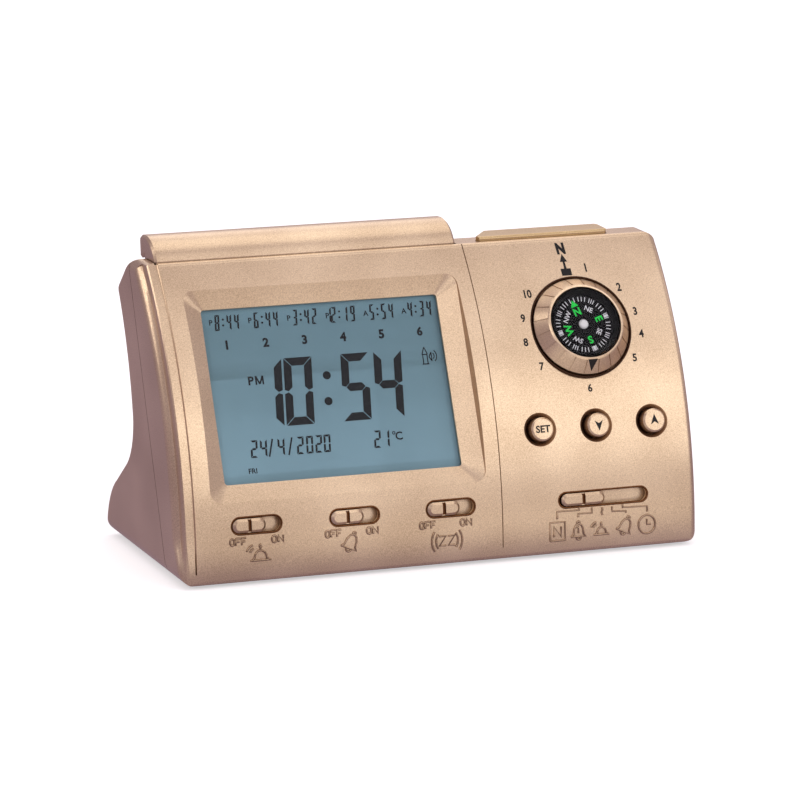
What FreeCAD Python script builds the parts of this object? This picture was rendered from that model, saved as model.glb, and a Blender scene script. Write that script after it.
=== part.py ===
import FreeCAD, Part
import math
import os
from FreeCAD import Placement, Rotation, Vector

os.makedirs("parts", exist_ok=True)

# Table-top prayer alarm clock: a two-shell case with a curved front, a bevelled display window,
# a compass dial, three round keys, four slide knobs and two press bars on top.
# Working frame of the case, in mm: x to the right seen from the front, y from the front foot
# towards the back, z up from the case's underside. The finished pieces are moved at the end so
# that the origin lies at the centre of the footprint, on the plane that the feet stand on.

# Case
CASE_W = 168.0
CASE_DEPTH = 75.0
CASE_H = 91.5
FRONT_R = 133.0
WALL = 2.2
FOOT_EDGE = 1.2
TOP_EDGE = 0.9
SIDE_CORNER_BOTTOM = 4.6
SIDE_CORNER_TOP = 4.0
RIGHT_EDGE_R = 2.6

# Back of the case, as seen from the side
TOP_FLAT_END = 45.4
BACK_SHOULDER_Y = 60.4
BACK_SHOULDER_Z = 80.0
WAIST_Y = 46.7
WAIST_Z = 42.5
BULGE_START_Y = 53.4
BULGE_START_Z = 26.5
BULGE_END_Y = 64.2
BULGE_END_Z = 18.9
BULGE_SIDE_IN = 3.0
BULGE_SIDE_Z = 11.3

# Split between the front and the rear shell
SPLIT_Y = 14.0
SPLIT_SLOPE = 0.4
SEAM_W = 0.3
SEAM_DEPTH = 0.5
LIP_GAP = 0.15
LIP_T = 1.1
LIP_H = 2.4

# Rounded pillar down the left of the front
PILLAR_X = -79.2
STRIP_W = 2.6
STRIP_DEPTH = 0.7
VALLEY_W = 3.1
VALLEY_DEPTH = 4.4
BEAD_R = 4.6
PILLAR_BACK = 13.0
PILLAR_FADE_LOW = 3.0
PILLAR_FADE_HIGH = 15.0
PILLAR_FOOT_R = 3.4
PILLAR_TOP_Z = CASE_H + 2.0

# Fine engraved lines on the front
GROOVE_W = 0.45
GROOVE_DEPTH = 0.6
PANEL_LINE_X = 19.15
PANEL_LINE_W = 0.3
PANEL_LINE_DEPTH = 0.35
LINE_FOOT_Z = 3.6

# Display window
SCREEN_X = -29.66
WINDOW_Z0 = 24.31
WINDOW_Z1 = 83.84
BEVEL_SIDE = 6.1
BEZEL_CORNER = 3.6
SCREEN_W = 76.0
BEZEL_W = SCREEN_W + 2 * BEVEL_SIDE
SCREEN_H = 54.1
SCREEN_RISE = 0.15
SCREEN_CORNER = 1.0
BEVEL_DEPTH = 2.8
BEZEL_LIP = 0.9
BEZEL_WALL = 1.4

# Display stack behind the window
LENS_T = 1.0
LENS_RIM = 1.6
LCD_T = 2.4
LCD_RIM = 2.2
GUIDE_T = 2.4
HOLDER_WALL = 1.6
HOLDER_BACK_T = 1.2
HOLDER_GAP = 0.3
HOLDER_WINDOW_W = 62.0
HOLDER_WINDOW_H = 38.0
BOARD_T = 1.6
BOARD_GAP = 1.4
MAIN_BOARD_W = 82.0
MAIN_BOARD_H = 58.0
STRIP_CONN_W = 66.0
STRIP_CONN_T = 2.0
STRIP_CONN_INSET = 3.2

# Round keys
KEY_X = (33.3, 51.85, 70.4)
KEY_Z = 38.23
KEY_R = 3.65
KEY_GAP = 0.35
KEY_RISE = 2.4
KEY_EDGE = 0.5
WELL_R = 5.3
WELL_DEPTH = 1.5
KEY_TUBE_WALL = 1.3
KEY_TUBE_DEPTH = 4.4
KEY_FLANGE_R = 5.0
KEY_FLANGE_T = 1.0
KEY_FLANGE_GAP = 0.2
KEY_STEM_R = 1.7
KEY_STEM_L = 1.6

# Push switches under the keys and bars
BAR_TRAVEL = 1.0
BAR_STOP_GAP = 0.8
SWITCH_W = 6.0
SWITCH_H = 3.2
PLUNGER_R = 1.6
PLUNGER_GAP = 0.1
PLUNGER_SPARE = 0.3
PLUNGER_RISE = BAR_TRAVEL + PLUNGER_SPARE
PLUNGER_DEEP = 1.2
SWITCH_FLOOR = 0.5

# Slide knobs along the foot of the front
TOGGLE_X = (-59.8, -28.65, 2.35)
TOGGLE_Z = 17.2
TOGGLE_SLOT_L = 15.8
TOGGLE_SLOT_W = 5.0
TOGGLE_KNOB_L = 10.4
TOGGLE_TRAVEL = 4.8
SELECTOR_X = 52.55
SELECTOR_DROP = 0.7
SELECTOR_SLOT_L = 29.5
SELECTOR_SLOT_W = 4.6
SELECTOR_KNOB_L = 14.3
SELECTOR_TRAVEL = 13.6
KNOB_GAP = 0.4
KNOB_RISE = 1.0
KNOB_NOTCH_W = 1.1
KNOB_NOTCH_DEPTH = 0.9
KNOB_EDGE = 0.8
PLATE_GAP = 0.3
PLATE_T = 0.9
PLATE_OVERLAP = 0.8
PLATE_SPARE = 0.4
LEVER_W = 2.0
LEVER_T = 1.6
LEVER_L = 3.2
SLIDE_BODY_W = 6.4
SLIDE_BODY_H = 3.6
SLIDE_BODY_RISE = 0.6
SLIDE_BODY_END = 2.2
SLIDE_BODY_FLOOR = 0.8
LEVER_GAP = 0.15
SWITCH_BOARD_H = 11.4
SWITCH_BOARD_TOP = 2.6

# Compass dial
DIAL_X = 51.7
DIAL_Z = 66.75
DIAL_HOLE_R = 16.2
DIAL_R = 15.5
DIAL_FOOT_RISE = 0.3
DIAL_TOP_RISE = 4.5
DIAL_WINDOW_R = 11.5
DIAL_LIP_W = 0.5
DIAL_SKIRT = 3.0
DIAL_FLOOR_T = 1.4
DIAL_FLUTES = 20
FLUTE_W = 0.45
FLUTE_DEPTH = 0.35
DIAL_WELL_WALL = 1.5
DIAL_WELL_DEPTH = 4.0
DIAL_WELL_FLOOR = 1.4
HUB_R = 6.0
HUB_FIT = 0.05
HUB_SHOULDER_R = 8.0
HUB_END = 8.0
CLIP_R = 7.8
CLIP_GROOVE_R = 5.0
CLIP_T = 0.8
CLIP_GAP = 0.1
WIPER_R = 9.0
WIPER_T = 0.4
WIPER_GAP = 0.3
DIAL_PLATE_W = 34.0
DIAL_POST_R = 2.0
CAPSULE_R = 11.1
CAPSULE_WALL = 0.7
CAPSULE_FLOOR = 0.8
CAPSULE_TOP = 3.7
CRYSTAL_T = 0.7
CRYSTAL_DOME = 0.9
CRYSTAL_RECESS = 0.2
CARD_R = 9.7
CARD_T = 0.5
CARD_RISE = 1.5
CARD_HUB_R = 1.5
CARD_HUB_H = 0.9
PIVOT_R = 0.5
PIVOT_FOOT_R = 1.2
PIVOT_GAP = 0.05
MAGNET_L = 12.0
MAGNET_W = 2.4
MAGNET_T = 0.8

# Press bars on top
POCKET_Y0 = 37.0
POCKET_Y1 = 48.4
LIGHT_POCKET_Y0 = 38.0
POCKET_FLOOR_Z = 87.6
POCKET_FLOOR_T = 1.5
POCKET_WALL = 1.4
BAR_GAP = 0.3
BAR_X0 = -79.5
BAR_X1 = 17.5
BAR_TOP_Z = 98.1
BAR_WALL = 1.6
HOOD_Z = 92.2
HOOD_REAR_Z = 90.6
BAR_END_BEAD = 0.7
SKIRT_Z = POCKET_FLOOR_Z + BAR_TRAVEL + BAR_STOP_GAP
LIGHT_X0 = 25.1
LIGHT_X1 = 68.6
LIGHT_TOP_Z = 93.1
LIGHT_WALL = 1.6
LIGHT_POINT = 6.5
LIGHT_ROUND = 3.0
BAR_LEG_R = 1.8
BAR_LEG_GAP = 0.4
BAR_LEG_X = (-62.0, 0.0)
LIGHT_LEG_X = 48.0
BAR_LEG_Y = 42.8
TOP_BOARD_X0 = -70.0
TOP_BOARD_X1 = 62.0
TOP_BOARD_Y0 = 38.6
TOP_BOARD_Y1 = 47.0
TOP_BOARD_Z = 80.0
TOP_BOARD_T = 1.4
TOP_BOARD_FACE = TOP_BOARD_Z + TOP_BOARD_T
BAR_LEG_Z = TOP_BOARD_FACE + SWITCH_H + PLUNGER_RISE
TOP_POST_X = (-46.0, -16.0, 34.0)

# Batteries and their bay in the rear bulge
CELL_R = 7.1
CELL_L = 49.5
CELL_NIB_R = 2.7
CELL_NIB_L = 1.0
CELL_Y = (44.3, 59.0)
CELL_Z = 11.0
BAY_HALF = 29.5
BAY_WALL = 1.5
BAY_Y0 = 36.6
BAY_ROOF_Z = 19.2
DOOR_HALF = 29.9
DOOR_GAP = 0.25
DOOR_Y0 = 38.4
DOOR_TOP_Z = 16.6
HOOK_X = (-18.0, 18.0)
HOOK_W = 7.0
HOOK_T = 1.1
HOOK_REACH = 4.2
SCOOP_R = 15.0
SCOOP_DEPTH = 1.0
SCOOP_Z = 9.0
CONTACT_W = 10.0
CONTACT_PLATE_T = 0.4
SPRING_R = 3.0
SPRING_WIRE_R = 0.4
SPRING_TURNS = 3.5
SPRING_STEPS = 14
SPRING_SIDES = 6

# Loudspeaker behind the rear wall
SPEAKER_X = 45.0
SPEAKER_Z = 61.0
SPEAKER_R = 18.0
SPEAKER_RIM_T = 1.2
SPEAKER_DEPTH = 7.0
SPEAKER_BACK_R = 10.0
MAGNET_R = 8.5
MAGNET_H = 3.6
CONE_T = 0.4
GRILLE_R = 14.6
GRILLE_SLOT_W = 1.8
GRILLE_PITCH = 3.8
GRILLE_ROWS = 3
SEAT_RING_W = 2.2
SEAT_RING_H = 4.2

# Screws, posts and feet
BOSS_R = 3.3
SCREW_R = 1.3
SCREW_HEAD_R = 2.5
SCREW_HEAD_T = 1.8
SCREW_BITE = 9.0
SCREW_SINK_R = 2.9
SCREW_FLOOR = 5.0
REAR_BOSS_R = 4.2
SCREW_PASS = 0.2
UPPER_BOSS = (76.3, 74.0)
LOWER_BOSS = (76.3, 8.6)
POST_R = 2.2
SMALL_SCREW_R = 0.9
SMALL_HEAD_R = 1.9
SMALL_HEAD_T = 1.0
SCREW_TIP_GAP = 0.4
SCREW_SIDES = 8
SMALL_BITE = 3.4
FOOT_R = 4.2
FOOT_H = 1.0
FOOT_SINK = 0.9
FOOT_X = 70.0
FOOT_Y = (9.5, 62.0)

REACH = 200.0
HALF_W = CASE_W / 2


def box(x0, x1, y0, y1, z0, z1):
    return Part.makeBox(x1 - x0, y1 - y0, z1 - z0, Vector(x0, y0, z0))


def rod(radius, z0, z1, x=0.0, y=0.0):
    return Part.makeCylinder(radius, z1 - z0, Vector(x, y, z0))


def peg(radius, sides, z0, z1, x=0.0, y=0.0):
    """A small round bar drawn as a prism, with its corners on the radius."""
    corners = [Vector(x + radius * math.cos(a), y + radius * math.sin(a), z0)
               for a in (2 * math.pi * i / sides for i in range(sides + 1))]
    corners[-1] = corners[0]
    return Part.Face(Part.makePolygon(corners)).extrude(Vector(0, 0, z1 - z0))


def rod_y(radius, y0, y1, x, z):
    return Part.makeCylinder(radius, y1 - y0, Vector(x, y0, z), Vector(0, 1, 0))


def plate(width, height, corner, z0, z1, x=0.0, y=0.0):
    """A plate with rounded corners, lying flat and centred on x, y."""
    w, h, r = width / 2, height / 2, corner
    k = r * (1 - math.sqrt(0.5))
    line, arc = Part.LineSegment, Part.Arc
    edges = [line(Vector(-w + r, -h, z0), Vector(w - r, -h, z0)),
             arc(Vector(w - r, -h, z0), Vector(w - k, -h + k, z0), Vector(w, -h + r, z0)),
             line(Vector(w, -h + r, z0), Vector(w, h - r, z0)),
             arc(Vector(w, h - r, z0), Vector(w - k, h - k, z0), Vector(w - r, h, z0)),
             line(Vector(w - r, h, z0), Vector(-w + r, h, z0)),
             arc(Vector(-w + r, h, z0), Vector(-w + k, h - k, z0), Vector(-w, h - r, z0)),
             line(Vector(-w, h - r, z0), Vector(-w, -h + r, z0)),
             arc(Vector(-w, -h + r, z0), Vector(-w + k, -h + k, z0), Vector(-w + r, -h, z0))]
    outline = Part.Wire([e.toShape() for e in edges])
    outline.translate(Vector(x, y, 0))
    return outline, Part.Face(outline).extrude(Vector(0, 0, z1 - z0))


def block(width, height, corner, z0, z1, x=0.0, y=0.0):
    return plate(width, height, corner, z0, z1, x, y)[1]


def stadium(length, width, z0, z1, x=0.0):
    """A plate with fully round ends, along x."""
    r = width / 2
    a = length / 2 - r
    line, arc = Part.LineSegment, Part.Arc
    edges = [line(Vector(x - a, -r, z0), Vector(x + a, -r, z0)),
             arc(Vector(x + a, -r, z0), Vector(x + a + r, 0, z0), Vector(x + a, r, z0)),
             line(Vector(x + a, r, z0), Vector(x - a, r, z0)),
             arc(Vector(x - a, r, z0), Vector(x - a - r, 0, z0), Vector(x - a, -r, z0))]
    outline = Part.Wire([e.toShape() for e in edges])
    return Part.Face(outline).extrude(Vector(0, 0, z1 - z0))


def path(start, *steps):
    """Edges from start through the steps: a point makes a line, a pair (via, end) an arc."""
    edges = []
    here = start
    for step in steps:
        if isinstance(step, tuple):
            via, end = step
            edges.append(Part.Arc(here, via, end).toShape())
            here = end
        else:
            edges.append(Part.LineSegment(here, step).toShape())
            here = step
    return edges


def turned(points, angle=360.0):
    """A solid of revolution about the z axis from (radius, height) points."""
    wire = Part.makePolygon([Vector(r, 0, z) for r, z in points + [points[0]]])
    return Part.Face(wire).revolve(Vector(0, 0, 0), Vector(0, 0, 1), angle)


def front_y(z):
    return FRONT_R - math.sqrt(FRONT_R ** 2 - z ** 2)


def front_lean(z):
    """Angle of the front face's outward normal above the horizontal, in degrees."""
    return math.degrees(math.asin(z / FRONT_R))


def front_frame(x, z):
    """Local frame on the front face: X to the right, Y up the face, Z out of it."""
    return Placement(Vector(x, front_y(z), z), Rotation(Vector(1, 0, 0), 90 - front_lean(z)))


def placed(shape, placement):
    copy = shape.copy()
    copy.Placement = placement.multiply(copy.Placement)
    return copy


def yz(y, z, x=0.0):
    return Vector(x, y, z)


# The case's outer form

def side_profile(x):
    """Outline of the case seen from the side, as a closed wire in the plane x."""
    top_front_z = CASE_H - TOP_EDGE
    top_front_y = front_y(top_front_z)
    foot_z = FOOT_EDGE
    mid_z = CASE_H / 2
    edges = path(
        yz(FOOT_EDGE, 0, x),
        (yz(FOOT_EDGE * 0.3, FOOT_EDGE * 0.3, x), yz(front_y(foot_z), foot_z, x)),
        (yz(front_y(mid_z), mid_z, x), yz(top_front_y, top_front_z, x)),
        (yz(top_front_y + 0.55, CASE_H - 0.22, x), yz(top_front_y + 1.3, CASE_H, x)),
        yz(TOP_FLAT_END, CASE_H, x),
        (yz(TOP_FLAT_END + 3.4, CASE_H - 1.0, x), yz(TOP_FLAT_END + 6.2, CASE_H - 3.1, x)),
        yz(BACK_SHOULDER_Y - 0.7, BACK_SHOULDER_Z + 1.2, x),
        (yz(BACK_SHOULDER_Y, BACK_SHOULDER_Z, x), yz(BACK_SHOULDER_Y - 0.5, BACK_SHOULDER_Z - 1.4, x)),
        (yz(50.7, 58.4, x), yz(WAIST_Y, WAIST_Z, x)),
        (yz(47.9, 34.0, x), yz(BULGE_START_Y, BULGE_START_Z, x)),
        yz(BULGE_END_Y, BULGE_END_Z, x),
        (yz(CASE_DEPTH - BULGE_SIDE_IN, BULGE_SIDE_Z, x), yz(CASE_DEPTH, 2.6, x)),
        (yz(CASE_DEPTH - 0.6, 0.7, x), yz(CASE_DEPTH - 2.3, 0, x)),
        yz(FOOT_EDGE, 0, x))
    return Part.Wire(edges)


def front_outline(inset):
    """Rounded rectangle of the case seen from the front, pulled in by inset, along y."""
    x1 = HALF_W - inset
    z0, z1 = inset, CASE_H - inset
    rb = SIDE_CORNER_BOTTOM - inset
    rt = SIDE_CORNER_TOP - inset
    kb, kt = rb * (1 - math.sqrt(0.5)), rt * (1 - math.sqrt(0.5))
    edges = path(
        Vector(-x1 + rb, 0, z0),
        Vector(x1 - rb, 0, z0),
        (Vector(x1 - kb, 0, z0 + kb), Vector(x1, 0, z0 + rb)),
        Vector(x1, 0, z1 - rt),
        (Vector(x1 - kt, 0, z1 - kt), Vector(x1 - rt, 0, z1)),
        Vector(-x1 + rt, 0, z1),
        (Vector(-x1 + kt, 0, z1 - kt), Vector(-x1, 0, z1 - rt)),
        Vector(-x1, 0, z0 + rb),
        (Vector(-x1 + kb, 0, z0 + kb), Vector(-x1 + rb, 0, z0)))
    wire = Part.Wire(edges)
    wire.translate(Vector(0, -REACH / 2, 0))
    return Part.Face(wire).extrude(Vector(0, REACH, 0))


def case_block(inset=0.0):
    """The case's outer form, pulled in on every side by inset."""
    wire = side_profile(-HALF_W + inset)
    if inset > 0:
        wire = wire.makeOffset2D(-inset)
    body = Part.Face(wire).extrude(Vector(CASE_W - 2 * inset, 0, 0))
    return body.common(front_outline(inset))


def about_front_axis(face, z0, z1):
    """Sweep a face that lies in the plane z = 0 round the front curve's axis, from z0 to z1."""
    axis_point = Vector(0, FRONT_R, 0)
    a0 = front_lean(z0)
    a1 = front_lean(z1)
    start = face.copy()
    start.rotate(axis_point, Vector(1, 0, 0), -a0)
    return start.revolve(axis_point, Vector(1, 0, 0), -(a1 - a0))


def pillar_waste_wire(fade):
    """What is cut off the front-left corner, seen from above; fade 0 is the full pillar,
    fade 1 the plain rounded corner at the foot."""
    x0 = PILLAR_X
    out = -2.0
    edge_x = -HALF_W - 2.0

    def mix(full, plain):
        return full[0] * (1 - fade) + plain[0] * fade, full[1] * (1 - fade) + plain[1] * fade

    def corner(angle):
        r = PILLAR_FOOT_R
        a = math.radians(angle)
        return -HALF_W + r - r * math.sin(a), r - r * math.cos(a)

    strip_end = x0 - STRIP_W
    valley_x = x0 - VALLEY_W
    bead_x = -HALF_W + BEAD_R
    bead_depth = VALLEY_DEPTH + math.sqrt(BEAD_R ** 2 - (bead_x - valley_x) ** 2)
    half_turn = math.atan2(bead_depth - VALLEY_DEPTH, bead_x - valley_x) / 2
    crown = (bead_x - BEAD_R * math.cos(half_turn), bead_depth - BEAD_R * math.sin(half_turn))
    marks = [mix((x0, STRIP_DEPTH), (x0, 0.0)),
             mix((strip_end, STRIP_DEPTH), corner(12)),
             mix((strip_end - 0.35, STRIP_DEPTH + 0.5), corner(26)),
             mix((valley_x, VALLEY_DEPTH), corner(44)),
             mix(crown, corner(66)),
             mix((-HALF_W, bead_depth), corner(90))]
    p = [Vector(x, y, 0) for x, y in marks]
    edges = path(Vector(x0, out, 0), p[0], p[1], p[2], p[3], (p[4], p[5]),
                 Vector(edge_x, p[5].y, 0), Vector(edge_x, out, 0), Vector(x0, out, 0))
    return Part.Wire(edges)


def pillar_waste():
    full = about_front_axis(Part.Face(pillar_waste_wire(0.0)), PILLAR_FADE_HIGH, PILLAR_TOP_Z)
    foot = about_front_axis(Part.Face(pillar_waste_wire(1.0)), -3.0, PILLAR_FADE_LOW)
    steps = 4
    rings = []
    for i in range(steps + 1):
        t = i / steps
        z = PILLAR_FADE_LOW + (PILLAR_FADE_HIGH - PILLAR_FADE_LOW) * t
        ring = pillar_waste_wire(0.5 + 0.5 * math.cos(math.pi * t))
        ring.rotate(Vector(0, FRONT_R, 0), Vector(1, 0, 0), -front_lean(z))
        rings.append(ring)
    blend = Part.makeLoft(rings, True, False)
    return [full, foot, blend]


def right_edge_waste():
    """What rounds the edge between the front and the right side."""
    r = RIGHT_EDGE_R
    k = r * (1 - math.sqrt(0.5))
    x1 = HALF_W
    section = Part.Wire(path(
        Vector(x1 - r, -2, 0), Vector(x1 - r, 0, 0),
        (Vector(x1 - k, k, 0), Vector(x1, r, 0)),
        Vector(x1 + 2, r, 0), Vector(x1 + 2, -2, 0), Vector(x1 - r, -2, 0)))
    return about_front_axis(Part.Face(section), -3.0, CASE_H + 2)


def front_groove(x, width, depth, z0, z1):
    """A fine V groove down the front face."""
    tip = Part.makePolygon([Vector(x - width / 2, -1, 0), Vector(x + width / 2, -1, 0),
                            Vector(x + width / 2, depth * 0.5, 0), Vector(x, depth, 0),
                            Vector(x - width / 2, depth * 0.5, 0), Vector(x - width / 2, -1, 0)])
    return about_front_axis(Part.Face(tip), z0, z1)


def split_side(front):
    """Everything in front of, or behind, the plane where the two shells meet."""
    lean = math.degrees(math.atan(SPLIT_SLOPE))
    slab = Part.makeBox(REACH * 2, REACH, REACH * 2, Vector(-REACH, -REACH if front else 0, -REACH))
    slab.rotate(Vector(0, 0, 0), Vector(1, 0, 0), -lean)
    slab.translate(Vector(0, SPLIT_Y, 0))
    return slab


def split_band(before, behind):
    """A slab along the meeting plane, reaching before and behind it."""
    lean = math.degrees(math.atan(SPLIT_SLOPE))
    slab = Part.makeBox(REACH * 2, before + behind, REACH * 2, Vector(-REACH, -before, -REACH))
    slab.rotate(Vector(0, 0, 0), Vector(1, 0, 0), -lean)
    slab.translate(Vector(0, SPLIT_Y, 0))
    return slab


# Display window frame: its plane runs along the chord of the curved front

WINDOW_Y0 = front_y(WINDOW_Z0)
WINDOW_Y1 = front_y(WINDOW_Z1)
WINDOW_H = math.hypot(WINDOW_Z1 - WINDOW_Z0, WINDOW_Y1 - WINDOW_Y0)
WINDOW_LEAN = math.degrees(math.atan2(WINDOW_Y1 - WINDOW_Y0, WINDOW_Z1 - WINDOW_Z0))
SCREEN_FRAME = Placement(Vector(SCREEN_X, (WINDOW_Y0 + WINDOW_Y1) / 2, (WINDOW_Z0 + WINDOW_Z1) / 2),
                         Rotation(Vector(1, 0, 0), 90 - WINDOW_LEAN))
WINDOW_PLANE = -BEVEL_DEPTH
LENS_SEAT = WINDOW_PLANE - BEZEL_LIP


def window_cut():
    """The bevelled recess and the window through its floor."""
    well = block(BEZEL_W, WINDOW_H, BEZEL_CORNER, 0.0, 12.0)
    top = plate(BEZEL_W, WINDOW_H, BEZEL_CORNER, 0.0, 1.0)[0]
    low = plate(SCREEN_W, SCREEN_H, SCREEN_CORNER, WINDOW_PLANE, 0.0, 0.0, SCREEN_RISE)[0]
    bevel = Part.makeLoft([low, top], True, True)
    hole = block(SCREEN_W, SCREEN_H, SCREEN_CORNER, LENS_SEAT - 1.0, WINDOW_PLANE + 0.01, 0.0, SCREEN_RISE)
    return placed(well.fuse([bevel, hole]), SCREEN_FRAME)


def window_block():
    """The wall that carries the recess, filled out behind the front face."""
    solid = block(BEZEL_W + 2 * BEZEL_WALL, WINDOW_H + 2 * BEZEL_WALL, BEZEL_CORNER, LENS_SEAT, 12.0)
    return placed(solid, SCREEN_FRAME)


TOP_POCKETS = ((BAR_X0, BAR_X1, POCKET_Y0), (LIGHT_X0, LIGHT_X1, LIGHT_POCKET_Y0))


def pocket_block(x0, x1, y0, grow):
    """The walls and floor of a pocket in the top, as one block grown round the pocket."""
    drop = POCKET_FLOOR_T + max(0.0, grow - POCKET_WALL)
    return box(x0 - BAR_GAP - grow, x1 + BAR_GAP + grow, y0 - grow, POCKET_Y1 + grow,
               POCKET_FLOOR_Z - drop, CASE_H + 3)


def cavity(inset=0.0):
    """The hollow inside the case, pulled in further by inset."""
    hollow = case_block(WALL + inset)
    behind_pillar = Part.Face(Part.makePolygon([
        Vector(-HALF_W - 5, -5, 0), Vector(PILLAR_X + WALL + inset, -5, 0),
        Vector(PILLAR_X + WALL + inset, PILLAR_BACK + inset, 0),
        Vector(-HALF_W - 5, PILLAR_BACK + inset, 0), Vector(-HALF_W - 5, -5, 0)]))
    solids = [about_front_axis(behind_pillar, -6.0, CASE_H + 8)]
    for x0, x1, y0 in TOP_POCKETS:
        solids.append(pocket_block(x0, x1, y0, POCKET_WALL + inset))
    return hollow.cut(solids)


def bay_block(grow=0.0):
    return box(-BAY_HALF - grow, BAY_HALF + grow, BAY_Y0 - grow, CASE_DEPTH, -1.0, BAY_ROOF_Z + grow)


def door_zone(gap):
    return box(-DOOR_HALF - gap, DOOR_HALF + gap, DOOR_Y0 - gap, CASE_DEPTH + 5, -5.0, DOOR_TOP_Z + gap)


# Loudspeaker seat on the leaning rear wall

def back_y(z):
    """The rear face's y at height z, from its own outline."""
    line = Part.makeLine(Vector(0, 30, z), Vector(0, 90, z))
    hit = Part.Face(side_profile(0.0)).common(line)
    return hit.BoundBox.YMax


SPEAKER_Y = back_y(SPEAKER_Z)
SPEAKER_LEAN = math.degrees(math.atan2(back_y(SPEAKER_Z + 8) - back_y(SPEAKER_Z - 8), 16.0))
SPEAKER_FRAME = Placement(Vector(SPEAKER_X, SPEAKER_Y, SPEAKER_Z),
                          Rotation(Vector(1, 0, 0), -90 - SPEAKER_LEAN))


def grille_slots():
    """Level slots that fill a round field in front of the loudspeaker."""
    slots = []
    for row in range(-GRILLE_ROWS, GRILLE_ROWS + 1):
        rise = row * GRILLE_PITCH
        slot = stadium(2 * math.sqrt(GRILLE_R ** 2 - rise ** 2), GRILLE_SLOT_W, -8.0, 4.0)
        slot.translate(Vector(0, rise, 0))
        slots.append(placed(slot, SPEAKER_FRAME))
    return slots


def speaker_seat():
    ring = rod(SPEAKER_R, -SEAT_RING_H, 2.0).cut(rod(SPEAKER_R - SEAT_RING_W, -SEAT_RING_H - 1, 3.0))
    return placed(ring, SPEAKER_FRAME)


# Screws that join the shells, one near each corner

def boss_places():
    places = []
    for x, z in (UPPER_BOSS, LOWER_BOSS):
        places += [(-x, z), (x, z)]
    return places


def boss_split_y(z):
    return SPLIT_Y + SPLIT_SLOPE * z


def screw_seat_y(z):
    return boss_split_y(z) + SCREW_FLOOR


def raw_front():
    """The outer skin with pillar, lines and corner radius, before it is hollowed."""
    body = case_block()
    cutters = pillar_waste()
    cutters.append(right_edge_waste())
    cutters.append(front_groove(PILLAR_X, GROOVE_W, GROOVE_DEPTH, LINE_FOOT_Z, CASE_H))
    cutters.append(front_groove(PANEL_LINE_X, PANEL_LINE_W, PANEL_LINE_DEPTH, LINE_FOOT_Z, CASE_H))
    return body.cut(cutters)


def key_frames():
    return [front_frame(x, KEY_Z) for x in KEY_X]


DIAL_FRAME = front_frame(DIAL_X, DIAL_Z)
SWITCH_FRAME = front_frame(0.0, TOGGLE_Z)
KEY_PANEL_FRAME = front_frame(KEY_X[1], KEY_Z)


# Slide switches: one row along the foot of the front, on one board

class Slide:
    def __init__(self, name, x, drop, slot_l, slot_w, knob_l, travel):
        self.name = name
        self.x = x
        self.drop = drop
        self.slot_l = slot_l
        self.slot_w = slot_w
        self.knob_l = knob_l
        self.travel = travel
        self.plate_l = slot_l + travel + 2 * PLATE_SPARE


SLIDES = [Slide(name, x, 0.0, TOGGLE_SLOT_L, TOGGLE_SLOT_W, TOGGLE_KNOB_L, TOGGLE_TRAVEL)
          for name, x in zip(("left_slide_knob", "middle_slide_knob", "right_slide_knob"), TOGGLE_X)]
SLIDES.append(Slide("selector_knob", SELECTOR_X, SELECTOR_DROP, SELECTOR_SLOT_L, SELECTOR_SLOT_W,
                    SELECTOR_KNOB_L, SELECTOR_TRAVEL))
PLATE_TOP = -(WALL + PLATE_GAP)
LEVER_TOP = PLATE_TOP - PLATE_T
LEVER_END = LEVER_TOP - LEVER_L
SLIDE_BODY_TOP = LEVER_TOP - SLIDE_BODY_RISE
SWITCH_BOARD_FACE = SLIDE_BODY_TOP - SLIDE_BODY_H
POST_TOP = -1.6


def slide_place(slide):
    return SWITCH_FRAME.multiply(Placement(Vector(slide.x, -slide.drop, 0), Rotation()))


def slot_cut(slide):
    """The stadium slot through the wall."""
    return placed(stadium(slide.slot_l, slide.slot_w, -WALL - 2.0, 2.0), slide_place(slide))


def slide_knob(slide):
    """Thumb piece with a notch across its middle, its cover plate and its lever."""
    rest = -slide.travel / 2
    thumb = stadium(slide.knob_l, slide.slot_w - 2 * KNOB_GAP, PLATE_TOP - 0.2, KNOB_RISE, rest)
    rim = [e for e in thumb.Edges if abs(e.BoundBox.ZMin - KNOB_RISE) < 1e-4
           and abs(e.BoundBox.ZMax - KNOB_RISE) < 1e-4]
    thumb = thumb.makeChamfer(KNOB_EDGE, rim)
    notch = box(rest - KNOB_NOTCH_W / 2, rest + KNOB_NOTCH_W / 2, -slide.slot_w, slide.slot_w,
                KNOB_RISE - KNOB_NOTCH_DEPTH, KNOB_RISE + 1)
    cover = block(slide.plate_l, slide.slot_w + 2 * PLATE_OVERLAP, 1.0, LEVER_TOP, PLATE_TOP, rest)
    lever = box(rest - LEVER_W / 2, rest + LEVER_W / 2, -LEVER_T / 2, LEVER_T / 2, LEVER_END, LEVER_TOP)
    return placed(thumb.cut(notch).fuse([cover, lever]).removeSplitter(), slide_place(slide))


def slide_body(slide):
    """Housing of the slide switch, with the slot that its lever runs in."""
    inner = slide.travel + LEVER_W + 2 * LEVER_GAP
    case = block(inner + 2 * SLIDE_BODY_END, SLIDE_BODY_W, 0.4, SWITCH_BOARD_FACE, SLIDE_BODY_TOP)
    track = box(-inner / 2, inner / 2, -LEVER_T / 2 - LEVER_GAP, LEVER_T / 2 + LEVER_GAP,
                SWITCH_BOARD_FACE + SLIDE_BODY_FLOOR, SLIDE_BODY_TOP + 1)
    return placed(case.cut(track), slide_place(slide))


SWITCH_POSTS = [(-44.2, -6.4), (-13.2, -6.4), (22.0, -6.4), (66.0, -6.6)]
SWITCH_BOARD_X = 72.0


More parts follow.
